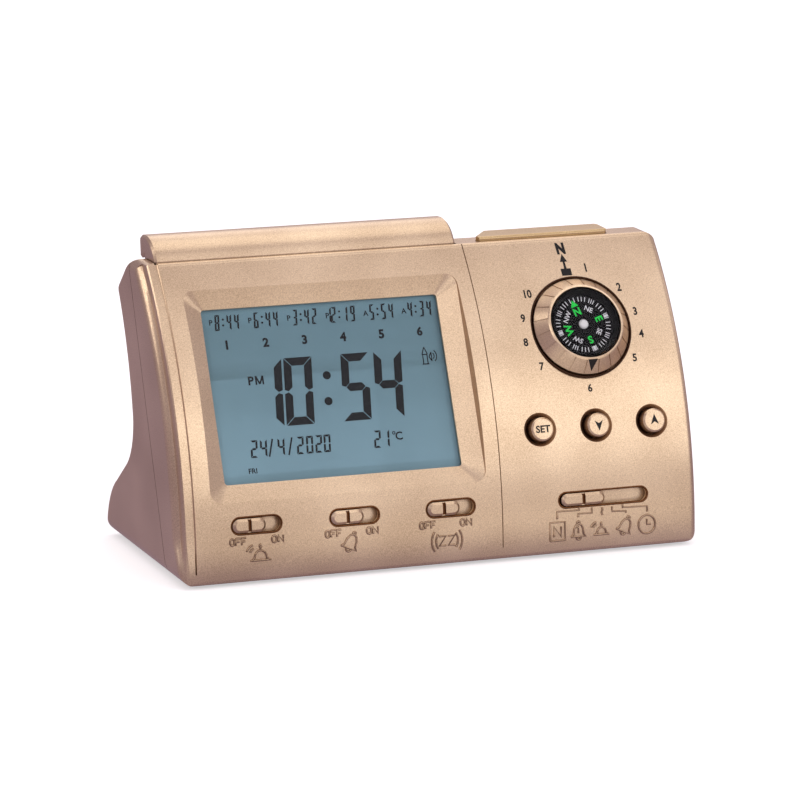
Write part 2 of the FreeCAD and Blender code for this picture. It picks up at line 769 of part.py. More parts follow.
def switch_board():
    low = SWITCH_BOARD_TOP - SWITCH_BOARD_H
    board = box(-SWITCH_BOARD_X, SWITCH_BOARD_X, low, SWITCH_BOARD_TOP,
                SWITCH_BOARD_FACE - BOARD_T, SWITCH_BOARD_FACE)
    holes = [rod(SMALL_SCREW_R, SWITCH_BOARD_FACE - BOARD_T - 1, SWITCH_BOARD_FACE + 1, x, y)
             for x, y in SWITCH_POSTS]
    return placed(board.cut(holes), SWITCH_FRAME)


# Round keys and the push switches beneath them

FLANGE_TOP = -(KEY_TUBE_DEPTH + KEY_FLANGE_GAP)
STEM_END = FLANGE_TOP - KEY_FLANGE_T - KEY_STEM_L
KEY_SWITCH_TOP = STEM_END - PLUNGER_RISE
KEY_BOARD_FACE = KEY_SWITCH_TOP - SWITCH_H
KEY_NAMES = ("set_key", "down_key", "up_key")
KEY_PITCH = KEY_X[1] - KEY_X[0]
KEY_POSTS = [(-KEY_PITCH / 2, 0.0), (KEY_PITCH / 2, 0.0)]
KEY_BOARD_W = KEY_X[-1] - KEY_X[0] + 12.0
KEY_BOARD_H = 18.0


def key_cap():
    cap = rod(KEY_R, FLANGE_TOP - 0.1, KEY_RISE)
    rim = [e for e in cap.Edges if abs(e.BoundBox.ZMin - KEY_RISE) < 1e-4]
    cap = cap.makeChamfer(KEY_EDGE, rim)
    flange = rod(KEY_FLANGE_R, FLANGE_TOP - KEY_FLANGE_T, FLANGE_TOP)
    stem = rod(KEY_STEM_R, STEM_END, FLANGE_TOP)
    return cap.fuse([flange, stem]).removeSplitter()


def plunger(top):
    return rod(PLUNGER_R, top - PLUNGER_RISE - PLUNGER_DEEP, top)


def push_switch(board_face, x=0.0, y=0.0):
    half = SWITCH_W / 2
    body = box(x - half, x + half, y - half, y + half, board_face, board_face + SWITCH_H)
    hole = rod(PLUNGER_R + PLUNGER_GAP, board_face + SWITCH_FLOOR, board_face + SWITCH_H + 1, x, y)
    return body.cut(hole)


def key_well_cut():
    bore = KEY_R + KEY_GAP
    slope = (WELL_R - bore) / WELL_DEPTH
    flare = 1.0
    return turned([(0, -KEY_TUBE_DEPTH - 1), (bore, -KEY_TUBE_DEPTH - 1), (bore, -WELL_DEPTH),
                   (WELL_R + flare * slope, flare), (0, flare)])


def key_tube():
    return rod(KEY_R + KEY_GAP + KEY_TUBE_WALL, -KEY_TUBE_DEPTH, POST_TOP)


def key_board():
    board = block(KEY_BOARD_W, KEY_BOARD_H, 1.0, KEY_BOARD_FACE - BOARD_T, KEY_BOARD_FACE)
    holes = [rod(SMALL_SCREW_R, KEY_BOARD_FACE - BOARD_T - 1, KEY_BOARD_FACE + 1, x, y)
             for x, y in KEY_POSTS]
    return placed(board.cut(holes), KEY_PANEL_FRAME)


def post(x, y, face):
    """A post on the inside of the front, with its pilot hole."""
    return rod(DIAL_POST_R, face, POST_TOP, x, y).cut(rod(SMALL_SCREW_R, face - 1, face + SMALL_BITE, x, y))


def pan_screw(x, y, under, tip):
    """A small screw with its head under the plane it clamps and its tip further out."""
    shank = peg(SMALL_SCREW_R, SCREW_SIDES, under - SMALL_HEAD_T / 2, tip, x, y)
    head = peg(SMALL_HEAD_R, 2 * SCREW_SIDES, under - SMALL_HEAD_T, under, x, y)
    return shank.fuse(head).removeSplitter()


def small_screw(x, y, face):
    """A screw that holds a board against the end of its post, head on the board's far side."""
    return pan_screw(x, y, face - BOARD_T, face + SMALL_BITE - SCREW_TIP_GAP)


# Compass dial

DIAL_SEAT = -DIAL_WELL_DEPTH
DIAL_PLATE_FACE = -(HUB_END + WIPER_T + WIPER_GAP)
DIAL_POST = 14.5
DIAL_POSTS = [(sx * DIAL_POST, sy * DIAL_POST) for sx in (-1, 1) for sy in (-1, 1)]
CLIP_TOP = DIAL_SEAT - DIAL_WELL_FLOOR - CLIP_GAP
CUP_FLOOR = -DIAL_SKIRT + DIAL_FLOOR_T


def dial_ring():
    """The turning knob: a fluted cone round the compass, with the hub that carries it."""
    lip_r = DIAL_WINDOW_R + DIAL_LIP_W
    body = turned([(0, -HUB_END), (CLIP_GROOVE_R, -HUB_END), (HUB_R, -HUB_END + 0.6),
                   (HUB_R, CLIP_TOP - CLIP_T), (CLIP_GROOVE_R, CLIP_TOP - CLIP_T),
                   (CLIP_GROOVE_R, CLIP_TOP), (HUB_R, CLIP_TOP), (HUB_R, DIAL_SEAT + HUB_FIT),
                   (HUB_SHOULDER_R, DIAL_SEAT + HUB_FIT), (HUB_SHOULDER_R, -DIAL_SKIRT),
                   (DIAL_R, -DIAL_SKIRT), (DIAL_R, DIAL_FOOT_RISE), (DIAL_R - 0.4, DIAL_FOOT_RISE + 0.5),
                   (lip_r + 0.35, DIAL_TOP_RISE - 0.25), (lip_r, DIAL_TOP_RISE),
                   (DIAL_WINDOW_R, DIAL_TOP_RISE - 0.1), (DIAL_WINDOW_R, CUP_FLOOR), (0, CUP_FLOOR)])
    fall = math.degrees(math.atan2(DIAL_TOP_RISE - DIAL_FOOT_RISE, DIAL_R - lip_r))
    flutes = []
    for i in range(DIAL_FLUTES):
        cut = box(-DIAL_R, DIAL_R, -FLUTE_W / 2, FLUTE_W / 2, -FLUTE_DEPTH, 2.0)
        cut.rotate(Vector(0, 0, 0), Vector(0, 1, 0), fall)
        cut.translate(Vector((DIAL_R + lip_r) / 2, 0, (DIAL_FOOT_RISE + DIAL_TOP_RISE) / 2 + 0.3))
        cut.rotate(Vector(0, 0, 0), Vector(0, 0, 1), 360.0 * (i + 0.5) / DIAL_FLUTES)
        flutes.append(cut)
    keep = rod(lip_r + 0.3, -HUB_END, DIAL_TOP_RISE + 1)
    flutes = Part.makeCompound(flutes).cut(keep)
    return body.cut(flutes)


def dial_clip():
    ring = rod(CLIP_R, CLIP_TOP - CLIP_T, CLIP_TOP).cut(
        rod(CLIP_GROOVE_R, CLIP_TOP - CLIP_T - 1, CLIP_TOP + 1))
    return ring.cut(box(-1.6, 1.6, 0, CLIP_R + 1, CLIP_TOP - CLIP_T - 1, CLIP_TOP + 1))


def dial_wiper():
    """Spring disc with three contact fingers on the end of the hub."""
    disc = rod(CLIP_GROOVE_R - 0.6, -HUB_END - WIPER_T, -HUB_END)
    fingers = []
    for i in range(3):
        arm = box(0, WIPER_R, -0.9, 0.9, -HUB_END - WIPER_T, -HUB_END)
        arm.rotate(Vector(0, 0, 0), Vector(0, 0, 1), 120.0 * i + 30)
        fingers.append(arm)
    return disc.fuse(fingers).removeSplitter()


def dial_plate():
    board = block(DIAL_PLATE_W, DIAL_PLATE_W, 2.0, DIAL_PLATE_FACE - BOARD_T, DIAL_PLATE_FACE)
    holes = [rod(SMALL_SCREW_R, DIAL_PLATE_FACE - BOARD_T - 1, DIAL_PLATE_FACE + 1, x, y)
             for x, y in DIAL_POSTS]
    return board.cut(holes)


def dial_well():
    outer_r = DIAL_HOLE_R + DIAL_WELL_WALL
    floor = DIAL_SEAT - DIAL_WELL_FLOOR
    return turned([(HUB_R + HUB_FIT, floor), (outer_r, floor), (outer_r, POST_TOP),
                   (DIAL_HOLE_R, POST_TOP), (DIAL_HOLE_R, DIAL_SEAT), (HUB_R + HUB_FIT, DIAL_SEAT)])


def compass_capsule():
    base = CUP_FLOOR
    cup = rod(CAPSULE_R, base, CAPSULE_TOP).cut(
        rod(CAPSULE_R - CAPSULE_WALL, base + CAPSULE_FLOOR, CAPSULE_TOP + 1))
    foot = turned([(0, base + CAPSULE_FLOOR - 0.1), (PIVOT_FOOT_R, base + CAPSULE_FLOOR - 0.1),
                   (PIVOT_R + 0.2, base + CAPSULE_FLOOR + 0.9), (0, base + CAPSULE_FLOOR + 0.9)])
    return cup.fuse(foot).removeSplitter()


PIVOT_TOP = CARD_RISE + CARD_T - 0.1


def compass_pivot():
    base = CUP_FLOOR + CAPSULE_FLOOR + 0.9
    return turned([(0, base), (PIVOT_R, base), (PIVOT_R, PIVOT_TOP - 0.6), (0.12, PIVOT_TOP), (0, PIVOT_TOP)])


def compass_card():
    disc = rod(CARD_R, CARD_RISE, CARD_RISE + CARD_T)
    return disc.cut(rod(PIVOT_R + PIVOT_GAP + 0.1, CARD_RISE - 1, CARD_RISE + CARD_T + 1))


def compass_hub():
    top = CARD_RISE + CARD_T
    cap = turned([(0, PIVOT_TOP + PIVOT_GAP), (PIVOT_R + 0.1, top), (CARD_HUB_R, top),
                  (CARD_HUB_R, top + CARD_HUB_H * 0.5), (CARD_HUB_R * 0.7, top + CARD_HUB_H),
                  (0, top + CARD_HUB_H)])
    return cap


def compass_magnet():
    bar = box(-MAGNET_L / 2, MAGNET_L / 2, -MAGNET_W / 2, MAGNET_W / 2, CARD_RISE - MAGNET_T, CARD_RISE)
    return bar.cut(rod(PIVOT_R + PIVOT_GAP + 0.1, CARD_RISE - MAGNET_T - 1, CARD_RISE + 1))


def compass_crystal():
    """Clear cover seated on the capsule's rim, domed outside and flat inside."""
    rise = CRYSTAL_DOME
    shoulder = CAPSULE_TOP + CRYSTAL_T
    ball_r = (CAPSULE_R ** 2 + rise ** 2) / (2 * rise)
    ball = Part.makeSphere(ball_r, Vector(0, 0, shoulder + rise - ball_r))
    dome = ball.common(rod(CAPSULE_R, shoulder, shoulder + rise + 1))
    recess = rod(CAPSULE_R - CAPSULE_WALL, CAPSULE_TOP - 1, CAPSULE_TOP + CRYSTAL_RECESS)
    return dome.fuse(rod(CAPSULE_R, CAPSULE_TOP, shoulder)).cut(recess).removeSplitter()


# Press bars on the top

def bar_section(x):
    """Cross-section of the wide bar, in the plane x."""
    y0 = POCKET_Y0 + BAR_GAP
    y1 = POCKET_Y1 - BAR_GAP
    return Part.Wire(path(
        yz(y0, SKIRT_Z, x), yz(y0, 91.9, x),
        (yz(41.2, 96.1, x), yz(48.2, BAR_TOP_Z, x)),
        yz(51.2, BAR_TOP_Z - 0.2, x),
        (yz(52.4, BAR_TOP_Z - 0.9, x), yz(52.8, BAR_TOP_Z - 2.4, x)),
        yz(52.2, HOOD_REAR_Z, x),
        yz(y1, HOOD_Z, x), yz(y1, SKIRT_Z, x), yz(y0, SKIRT_Z, x)))


def snooze_bar():
    solid = Part.Face(bar_section(BAR_X0)).extrude(Vector(BAR_X1 - BAR_X0, 0, 0))
    ends = [e for e in solid.Edges if e.BoundBox.XLength < 1e-4 and e.BoundBox.ZMax > SKIRT_Z + 0.1]
    solid = solid.makeChamfer(BAR_END_BEAD, ends)
    inner = bar_section(BAR_X0 + BAR_WALL).makeOffset2D(-BAR_WALL)
    hollow = Part.Face(inner).extrude(Vector(BAR_X1 - BAR_X0 - 2 * BAR_WALL, 0, 0))
    mouth = box(BAR_X0 + BAR_WALL, BAR_X1 - BAR_WALL, POCKET_Y0 + BAR_GAP + BAR_WALL,
                POCKET_Y1 - BAR_GAP - BAR_WALL, SKIRT_Z - 1, SKIRT_Z + 3)
    legs = [rod(BAR_LEG_R, BAR_LEG_Z, BAR_TOP_Z - 2.6, x, BAR_LEG_Y) for x in BAR_LEG_X]
    return solid.cut([hollow, mouth]).fuse(legs).removeSplitter()


def light_outline(grow, z):
    """Plan of the small bar: pointed at the left, rounded at the right."""
    x0, x1 = LIGHT_X0, LIGHT_X1
    y0, y1 = LIGHT_POCKET_Y0 + BAR_GAP, POCKET_Y1 - BAR_GAP
    r = LIGHT_ROUND
    k = r * (1 - math.sqrt(0.5))
    wire = Part.Wire(path(
        Vector(x0 + 0.8, y0, z), Vector(x1 - 1.0, y0, z),
        (Vector(x1 - 0.3, y0 + 0.3, z), Vector(x1, y0 + 1.0, z)),
        Vector(x1, y1 - r, z),
        (Vector(x1 - k, y1 - k, z), Vector(x1 - r, y1, z)),
        Vector(x0 + LIGHT_POINT, y1, z),
        Vector(x0, y0 + 1.2, z),
        Vector(x0 + 0.8, y0, z)))
    return wire.makeOffset2D(grow) if grow else wire


def light_key():
    y0, y1 = LIGHT_POCKET_Y0 + BAR_GAP, POCKET_Y1 - BAR_GAP
    x = LIGHT_X0 - 1
    top = LIGHT_TOP_Z
    section = Part.Wire(path(
        yz(y0, SKIRT_Z, x), yz(y0, top - 0.9, x),
        (yz(y0 + 0.3, top - 0.4, x), yz(y0 + 1.0, top - 0.2, x)),
        yz(y1 - 1.2, top, x),
        (yz(y1 - 0.35, top - 0.35, x), yz(y1, top - 1.2, x)),
        yz(y1, SKIRT_Z, x), yz(y0, SKIRT_Z, x)))
    form = Part.Face(section).extrude(Vector(LIGHT_X1 - LIGHT_X0 + 2, 0, 0))
    solid = Part.Face(light_outline(0, SKIRT_Z)).extrude(Vector(0, 0, top + 1 - SKIRT_Z)).common(form)
    core_top = top - LIGHT_WALL - 0.2
    core = Part.Face(light_outline(-BAR_WALL, SKIRT_Z - 1)).extrude(Vector(0, 0, core_top + 1 - SKIRT_Z))
    leg = rod(BAR_LEG_R, BAR_LEG_Z, top - LIGHT_WALL / 2, LIGHT_LEG_X, BAR_LEG_Y)
    return solid.cut(core).fuse(leg).removeSplitter()


def top_pocket_cuts():
    bar = box(BAR_X0 - BAR_GAP, BAR_X1 + BAR_GAP, POCKET_Y0, POCKET_Y1, POCKET_FLOOR_Z, CASE_H + 3)
    light = Part.Face(light_outline(BAR_GAP, POCKET_FLOOR_Z)).extrude(Vector(0, 0, 8))
    holes = [rod(BAR_LEG_R + BAR_LEG_GAP, 80.0, 90.0, x, BAR_LEG_Y) for x in BAR_LEG_X + (LIGHT_LEG_X,)]
    return [bar, light] + holes


def top_board():
    board = box(TOP_BOARD_X0, TOP_BOARD_X1, TOP_BOARD_Y0, TOP_BOARD_Y1, TOP_BOARD_Z, TOP_BOARD_FACE)
    holes = [rod(SMALL_SCREW_R, TOP_BOARD_Z - 1, TOP_BOARD_FACE + 1, x, BAR_LEG_Y) for x in TOP_POST_X]
    return board.cut(holes)


def top_posts():
    """Posts that hang from the pocket floor and carry the board of the top switches."""
    posts = []
    for x in TOP_POST_X:
        bar = rod(POST_R, TOP_BOARD_FACE, POCKET_FLOOR_Z - 0.4, x, BAR_LEG_Y)
        posts.append(bar.cut(rod(SMALL_SCREW_R, TOP_BOARD_FACE - 1, TOP_BOARD_FACE + SMALL_BITE, x, BAR_LEG_Y)))
    return posts


# Display stack

LENS_BACK = LENS_SEAT - LENS_T
LCD_BACK = LENS_BACK - LCD_T
GUIDE_BACK = LCD_BACK - GUIDE_T
HOLDER_BACK = GUIDE_BACK - HOLDER_BACK_T
MAIN_FACE = HOLDER_BACK - BOARD_GAP
LCD_W = SCREEN_W + 2 * LCD_RIM
LCD_H = SCREEN_H + 2 * LCD_RIM
HOLDER_IN_W = LCD_W + 2 * HOLDER_GAP
HOLDER_IN_H = LCD_H + 2 * HOLDER_GAP
HOLDER_W = HOLDER_IN_W + 2 * HOLDER_WALL
HOLDER_H = HOLDER_IN_H + 2 * HOLDER_WALL
STRIP_CONN_Y = -LCD_H / 2 + STRIP_CONN_INSET / 2
GUIDE_H = LCD_H - STRIP_CONN_INSET - 1.0
MAIN_POSTS = [(sx * (MAIN_BOARD_W / 2 - 3.5), sy * (MAIN_BOARD_H / 2 - 3.5)) for sx in (-1, 1) for sy in (-1, 1)]
EAR_R = 2.3
EAR_T = 2.0
EAR_BITE = 1.9
EAR_X = HOLDER_W / 2 + SMALL_HEAD_R + 0.2
EARS = [(sx * EAR_X, sy * 15.0) for sx in (-1, 1) for sy in (-1, 1)]


def lcd_holder():
    """Tray that clamps lens, display and light guide behind the window and carries the board."""
    tray = block(HOLDER_W, HOLDER_H, 2.0, HOLDER_BACK, LENS_SEAT)
    ears = [rod(EAR_R, LENS_SEAT - EAR_T, LENS_SEAT, x, y) for x, y in EARS]
    posts = [rod(POST_R, MAIN_FACE, HOLDER_BACK, x, y) for x, y in MAIN_POSTS]
    cuts = [block(HOLDER_IN_W, HOLDER_IN_H, 0.6, GUIDE_BACK, LENS_SEAT + 1),
            block(HOLDER_WINDOW_W, HOLDER_WINDOW_H, 3.0, HOLDER_BACK - 1, GUIDE_BACK + 1),
            box(-STRIP_CONN_W / 2 - 0.3, STRIP_CONN_W / 2 + 0.3, STRIP_CONN_Y - STRIP_CONN_T / 2 - 0.1,
                STRIP_CONN_Y + STRIP_CONN_T / 2 + 0.1, HOLDER_BACK - 1, GUIDE_BACK + 1)]
    cuts += [rod(SMALL_SCREW_R, LENS_SEAT - EAR_T - 1, LENS_SEAT + 1, x, y) for x, y in EARS]
    cuts += [rod(SMALL_SCREW_R, MAIN_FACE - 1, GUIDE_BACK - 0.4, x, y) for x, y in MAIN_POSTS]
    return placed(tray.fuse(ears + posts).cut(cuts).removeSplitter(), SCREEN_FRAME)


def main_board():
    board = block(MAIN_BOARD_W, MAIN_BOARD_H, 1.5, MAIN_FACE - BOARD_T, MAIN_FACE)
    holes = [rod(SMALL_SCREW_R, MAIN_FACE - BOARD_T - 1, MAIN_FACE + 1, x, y) for x, y in MAIN_POSTS]
    return placed(board.cut(holes), SCREEN_FRAME)


def ear_screw(x, y):
    return pan_screw(x, y, LENS_SEAT - EAR_T, LENS_SEAT + EAR_BITE)


def board_screw_main(x, y):
    return pan_screw(x, y, MAIN_FACE - BOARD_T, GUIDE_BACK - 0.6)


# Batteries

def cell():
    """One round cell lying along x, positive nib towards +x, centred on its length."""
    body = turned([(0, 0), (CELL_R - 0.5, 0), (CELL_R, 0.5), (CELL_R, CELL_L - 0.8),
                   (CELL_R - 0.8, CELL_L), (CELL_NIB_R, CELL_L), (CELL_NIB_R, CELL_L + CELL_NIB_L),
                   (0, CELL_L + CELL_NIB_L)])
    body.rotate(Vector(0, 0, 0), Vector(0, 1, 0), 90)
    return body


CELL_START = BAY_HALF - CONTACT_PLATE_T - CELL_L - CELL_NIB_L
SPRING_L = CELL_START + BAY_HALF - CONTACT_PLATE_T


def cell_at(row):
    body = cell()
    body.translate(Vector(CELL_START, 0, 0))
    if row == 1:
        body.rotate(Vector(0, 0, 0), Vector(0, 0, 1), 180)
    body.translate(Vector(0, CELL_Y[row], CELL_Z))
    return body


def contact_plates():
    plates = []
    for y in CELL_Y:
        for side in (-1, 1):
            x = side * (BAY_HALF - CONTACT_PLATE_T / 2)
            h = CONTACT_W / 2
            plates.append(box(x - CONTACT_PLATE_T / 2, x + CONTACT_PLATE_T / 2, y - h, y + h,
                              CELL_Z - h, CELL_Z + h))
    return plates


def cell_spring(row):
    """Coil that presses a cell against the opposite contact."""
    length = SPRING_L - 2 * SPRING_WIRE_R
    steps = round(SPRING_TURNS * SPRING_STEPS)
    sections = []
    for i in range(steps + 1):
        turn = 2 * math.pi * i / SPRING_STEPS
        corners = []
        for k in range(SPRING_SIDES + 1):
            a = 2 * math.pi * k / SPRING_SIDES
            r = SPRING_R + SPRING_WIRE_R * math.cos(a)
            corners.append(Vector(r * math.cos(turn), r * math.sin(turn),
                                  length * i / steps + SPRING_WIRE_R * math.sin(a)))
        sections.append(Part.makePolygon(corners))
    coil = Part.makeLoft(sections, True, True)
    coil.rotate(Vector(0, 0, 0), Vector(0, 1, 0), 90)
    coil.translate(Vector(-BAY_HALF + CONTACT_PLATE_T + SPRING_WIRE_R, 0, 0))
    if row == 1:
        coil.rotate(Vector(0, 0, 0), Vector(0, 0, 1), 180)
    coil.translate(Vector(0, CELL_Y[row], CELL_Z))
    return coil


def battery_door():
    """Cover of the battery bay: part of the bulge's skin, with two hooks and a thumb scoop."""
    skin = case_block().cut(case_block(WALL - DOOR_GAP)).common(door_zone(0.0))
    over = WALL + DOOR_GAP
    hooks = []
    for x in HOOK_X:
        h = HOOK_W / 2
        hooks.append(box(x - h, x + h, DOOR_Y0 + DOOR_GAP, DOOR_Y0 + 2.2, WALL - DOOR_GAP - 0.4, over + HOOK_T))
        hooks.append(box(x - h, x + h, DOOR_Y0 - HOOK_REACH, DOOR_Y0 + 2.2, over, over + HOOK_T))
    ball_y = back_y(SCOOP_Z) + SCOOP_R - SCOOP_DEPTH
    scoop = Part.makeSphere(SCOOP_R, Vector(0, ball_y, SCOOP_Z))
    return skin.cut(scoop).fuse(hooks).removeSplitter()


def hook_notches():
    top = WALL + DOOR_GAP + HOOK_T + 0.3
    return [box(x - HOOK_W / 2 - 0.4, x + HOOK_W / 2 + 0.4, BAY_Y0 - BAY_WALL - 1, BAY_Y0 + 1, WALL, top)
            for x in HOOK_X]


# Loudspeaker

def speaker_frame():
    face = -SEAT_RING_H
    r = SPEAKER_R
    d = SPEAKER_DEPTH
    body = turned([(r - 1.4, face), (r, face), (r, face - SPEAKER_RIM_T), (SPEAKER_BACK_R, face - d),
                   (MAGNET_R - 3.5, face - d), (MAGNET_R - 3.5, face - d + 0.8),
                   (SPEAKER_BACK_R - 0.6, face - d + 0.8), (r - 1.4, face - SPEAKER_RIM_T)])
    return placed(body, SPEAKER_FRAME)


def speaker_cone():
    face = -SEAT_RING_H - 0.6
    r = SPEAKER_R - 3.2
    t = CONE_T
    body = turned([(0, face - 3.2), (5.0, face - 3.2), (r, face), (r + 1.6, face),
                   (r + 1.6, face + t), (r, face + t), (5.0, face - 3.2 + t), (0, face - 3.2 + t)])
    return placed(body, SPEAKER_FRAME)


def speaker_magnet():
    face = -SEAT_RING_H - SPEAKER_DEPTH
    return placed(rod(MAGNET_R, face - MAGNET_H, face), SPEAKER_FRAME)


# The two shells

def seam():
    """Fine line left open round the outside where the shells meet."""
    return split_band(SEAM_W / 2, SEAM_W / 2).cut(case_block(SEAM_DEPTH))


def within(shape):
    return shape.common(case_block(0.8))


SKIN = raw_front()
HOLLOW = cavity()


def front_cover():
    shell = SKIN.cut(HOLLOW)
    add = [within(window_block().common(split_side(True)))]
    for frame in key_frames():
        add.append(placed(key_tube(), frame))
    add.append(placed(dial_well(), DIAL_FRAME))
    add += [placed(post(x, y, DIAL_PLATE_FACE), DIAL_FRAME) for x, y in DIAL_POSTS]
    add += [placed(post(x, y, KEY_BOARD_FACE), KEY_PANEL_FRAME) for x, y in KEY_POSTS]
    add += [placed(post(x, y, SWITCH_BOARD_FACE), SWITCH_FRAME) for x, y in SWITCH_POSTS]
    add += top_posts()
    for x, z in boss_places():
        add.append(within(rod_y(BOSS_R, front_y(z) + 0.5, REACH / 2, x, z)))
    shell = shell.fuse(add)
    cuts = [window_cut(), placed(rod(DIAL_HOLE_R, DIAL_SEAT, 4.0), DIAL_FRAME)]
    cuts += [placed(key_well_cut(), frame) for frame in key_frames()]
    cuts += [slot_cut(s) for s in SLIDES]
    cuts += top_pocket_cuts()
    cuts += [rod_y(SCREW_R, boss_split_y(z) - SCREW_BITE - 0.5, REACH / 2, x, z) for x, z in boss_places()]
    cuts += [placed(rod(SMALL_SCREW_R, LENS_SEAT - 1, LENS_SEAT + 2.1, x, y), SCREEN_FRAME) for x, y in EARS]
    cuts += foot_pockets()
    cuts.append(seam())
    return shell.cut(cuts).common(split_side(True)).removeSplitter()


def foot_pockets():
    return [rod(FOOT_R, -2.0, FOOT_SINK, sx * FOOT_X, y) for sx in (-1, 1) for y in FOOT_Y]


def rear_cover():
    shell = SKIN.cut(HOLLOW).cut([door_zone(DOOR_GAP)]).common(split_side(False))
    lip = cavity(LIP_GAP).cut(cavity(LIP_GAP + LIP_T)).common(split_band(LIP_H, WALL))
    join = HOLLOW.cut(cavity(LIP_GAP + LIP_T)).common(split_band(0, WALL)).common(split_side(False))
    bay = bay_block(BAY_WALL).cut(bay_block()).common(HOLLOW).cut(hook_notches())
    bosses = [rod_y(REAR_BOSS_R, 0.0, REACH / 2, x, z).common(split_side(False)) for x, z in boss_places()]
    bosses = [within(b) for b in bosses]
    seat = within(speaker_seat())
    keep_lip = [rod_y(BOSS_R + 0.4, 0, REACH / 2, x, z) for x, z in boss_places()]
    lip = lip.cut(keep_lip)
    shell = shell.fuse([lip, join, bay, seat] + bosses)
    cuts = grille_slots() + foot_pockets() + [seam()]
    bar_box = box(BAR_X0 - BAR_GAP, BAR_X1 + BAR_GAP, POCKET_Y0, POCKET_Y1, POCKET_FLOOR_Z, CASE_H + 3)
    cuts += [bar_box, Part.Face(light_outline(BAR_GAP, POCKET_FLOOR_Z)).extrude(Vector(0, 0, 8))]
    for x, z in boss_places():
        cuts.append(rod_y(SCREW_R + SCREW_PASS, 0, REACH / 2, x, z))
        cuts.append(rod_y(SCREW_SINK_R, screw_seat_y(z), REACH / 2, x, z))
    return shell.cut(cuts).removeSplitter()


def case_screws():
    screws = []
    for x, z in boss_places():
        seat = screw_seat_y(z)
        shank = rod_y(SCREW_R, boss_split_y(z) - SCREW_BITE, seat + 0.2, x, z)
        head = rod_y(SCREW_HEAD_R, seat, seat + SCREW_HEAD_T, x, z)
        screws.append(shank.fuse(head).removeSplitter())
    return screws


def rubber_foot(x, y):
    foot = rod(FOOT_R, -FOOT_H, FOOT_SINK, x, y)
    rim = [e for e in foot.Edges if abs(e.BoundBox.ZMax + FOOT_H) < 1e-4]
    return foot.makeChamfer(0.3, rim)


def group(shapes):
    return Part.makeCompound(shapes)


nodes = {}
nodes["front_cover"] = front_cover()
nodes["rear_cover"] = rear_cover()
nodes["display_lens"] = placed(block(SCREEN_W + 2 * LENS_RIM, SCREEN_H + 2 * LENS_RIM, 1.0, LENS_BACK,
                                     LENS_SEAT), SCREEN_FRAME)
nodes["lcd_panel"] = placed(block(LCD_W, LCD_H, 0.5, LCD_BACK, LENS_BACK), SCREEN_FRAME)
nodes["light_guide"] = placed(block(SCREEN_W, GUIDE_H, 0.5, GUIDE_BACK, LCD_BACK, 0.0,
                                    (STRIP_CONN_INSET + 1.0) / 2), SCREEN_FRAME)
nodes["backlight_led"] = placed(box(SCREEN_W / 2, SCREEN_W / 2 + 2.0, -3.0, 3.0, GUIDE_BACK, GUIDE_BACK + 2.0),
                                SCREEN_FRAME)
nodes["lcd_holder"] = lcd_holder()
nodes["strip_connector"] = placed(box(-STRIP_CONN_W / 2, STRIP_CONN_W / 2, STRIP_CONN_Y - STRIP_CONN_T / 2,
                                      STRIP_CONN_Y + STRIP_CONN_T / 2, MAIN_FACE, LCD_BACK), SCREEN_FRAME)
nodes["main_board"] = main_board()
MAIN_REAR = MAIN_FACE - BOARD_T
nodes["processor_cap"] = placed(turned([(0, MAIN_REAR), (7.0, MAIN_REAR), (6.2, MAIN_REAR - 0.8),
                                        (4.0, MAIN_REAR - 1.4), (0, MAIN_REAR - 1.6)]), SCREEN_FRAME)
crystal = Part.makeCylinder(1.0, 6.0, Vector(16.0, 8.0, MAIN_REAR - 1.0), Vector(1, 0, 0))
nodes["quartz_crystal"] = placed(crystal, SCREEN_FRAME)
nodes["temperature_sensor"] = placed(rod(1.2, MAIN_REAR - 3.4, MAIN_REAR, 30.0, -18.0), SCREEN_FRAME)
nodes["key_board"] = key_board()
nodes["key_switches"] = group([placed(push_switch(KEY_BOARD_FACE, (i - 1) * KEY_PITCH), KEY_PANEL_FRAME)
                               for i in range(3)])
nodes["switch_board"] = switch_board()
nodes["slide_switches"] = group([slide_body(s) for s in SLIDES[:3]])
nodes["selector_switch"] = slide_body(SLIDES[3])
nodes["top_board"] = top_board()
nodes["top_switches"] = group([push_switch(TOP_BOARD_FACE, x, BAR_LEG_Y) for x in BAR_LEG_X + (LIGHT_LEG_X,)])
nodes["dial_contact_plate"] = placed(dial_plate(), DIAL_FRAME)
screws = [placed(small_screw(x, y, DIAL_PLATE_FACE), DIAL_FRAME) for x, y in DIAL_POSTS]
screws += [placed(small_screw(x, y, KEY_BOARD_FACE), KEY_PANEL_FRAME) for x, y in KEY_POSTS]
screws += [placed(small_screw(x, y, SWITCH_BOARD_FACE), SWITCH_FRAME) for x, y in SWITCH_POSTS]
screws += [placed(ear_screw(x, y), SCREEN_FRAME) for x, y in EARS]
screws += [placed(board_screw_main(x, y), SCREEN_FRAME) for x, y in MAIN_POSTS]
screws += [pan_screw(x, BAR_LEG_Y, TOP_BOARD_Z, TOP_BOARD_FACE + SMALL_BITE - SCREW_TIP_GAP) for x in TOP_POST_X]
nodes["board_screws"] = group(screws)
nodes["case_screws"] = group(case_screws())
nodes["battery_cells"] = group([cell_at(0), cell_at(1)])
nodes["battery_contacts"] = group(contact_plates())
nodes["battery_springs"] = group([cell_spring(0), cell_spring(1)])
nodes["speaker_frame"] = speaker_frame()
nodes["speaker_cone"] = speaker_cone()
nodes["speaker_magnet"] = speaker_magnet()
nodes["rubber_feet"] = group([rubber_foot(sx * FOOT_X, y) for sx in (-1, 1) for y in FOOT_Y])
nodes["battery_door"] = battery_door()
nodes["snooze_bar"] = snooze_bar()
nodes["snooze_plungers"] = group([plunger(BAR_LEG_Z).translated(Vector(x, BAR_LEG_Y, 0)) for x in BAR_LEG_X])
nodes["light_key"] = light_key()
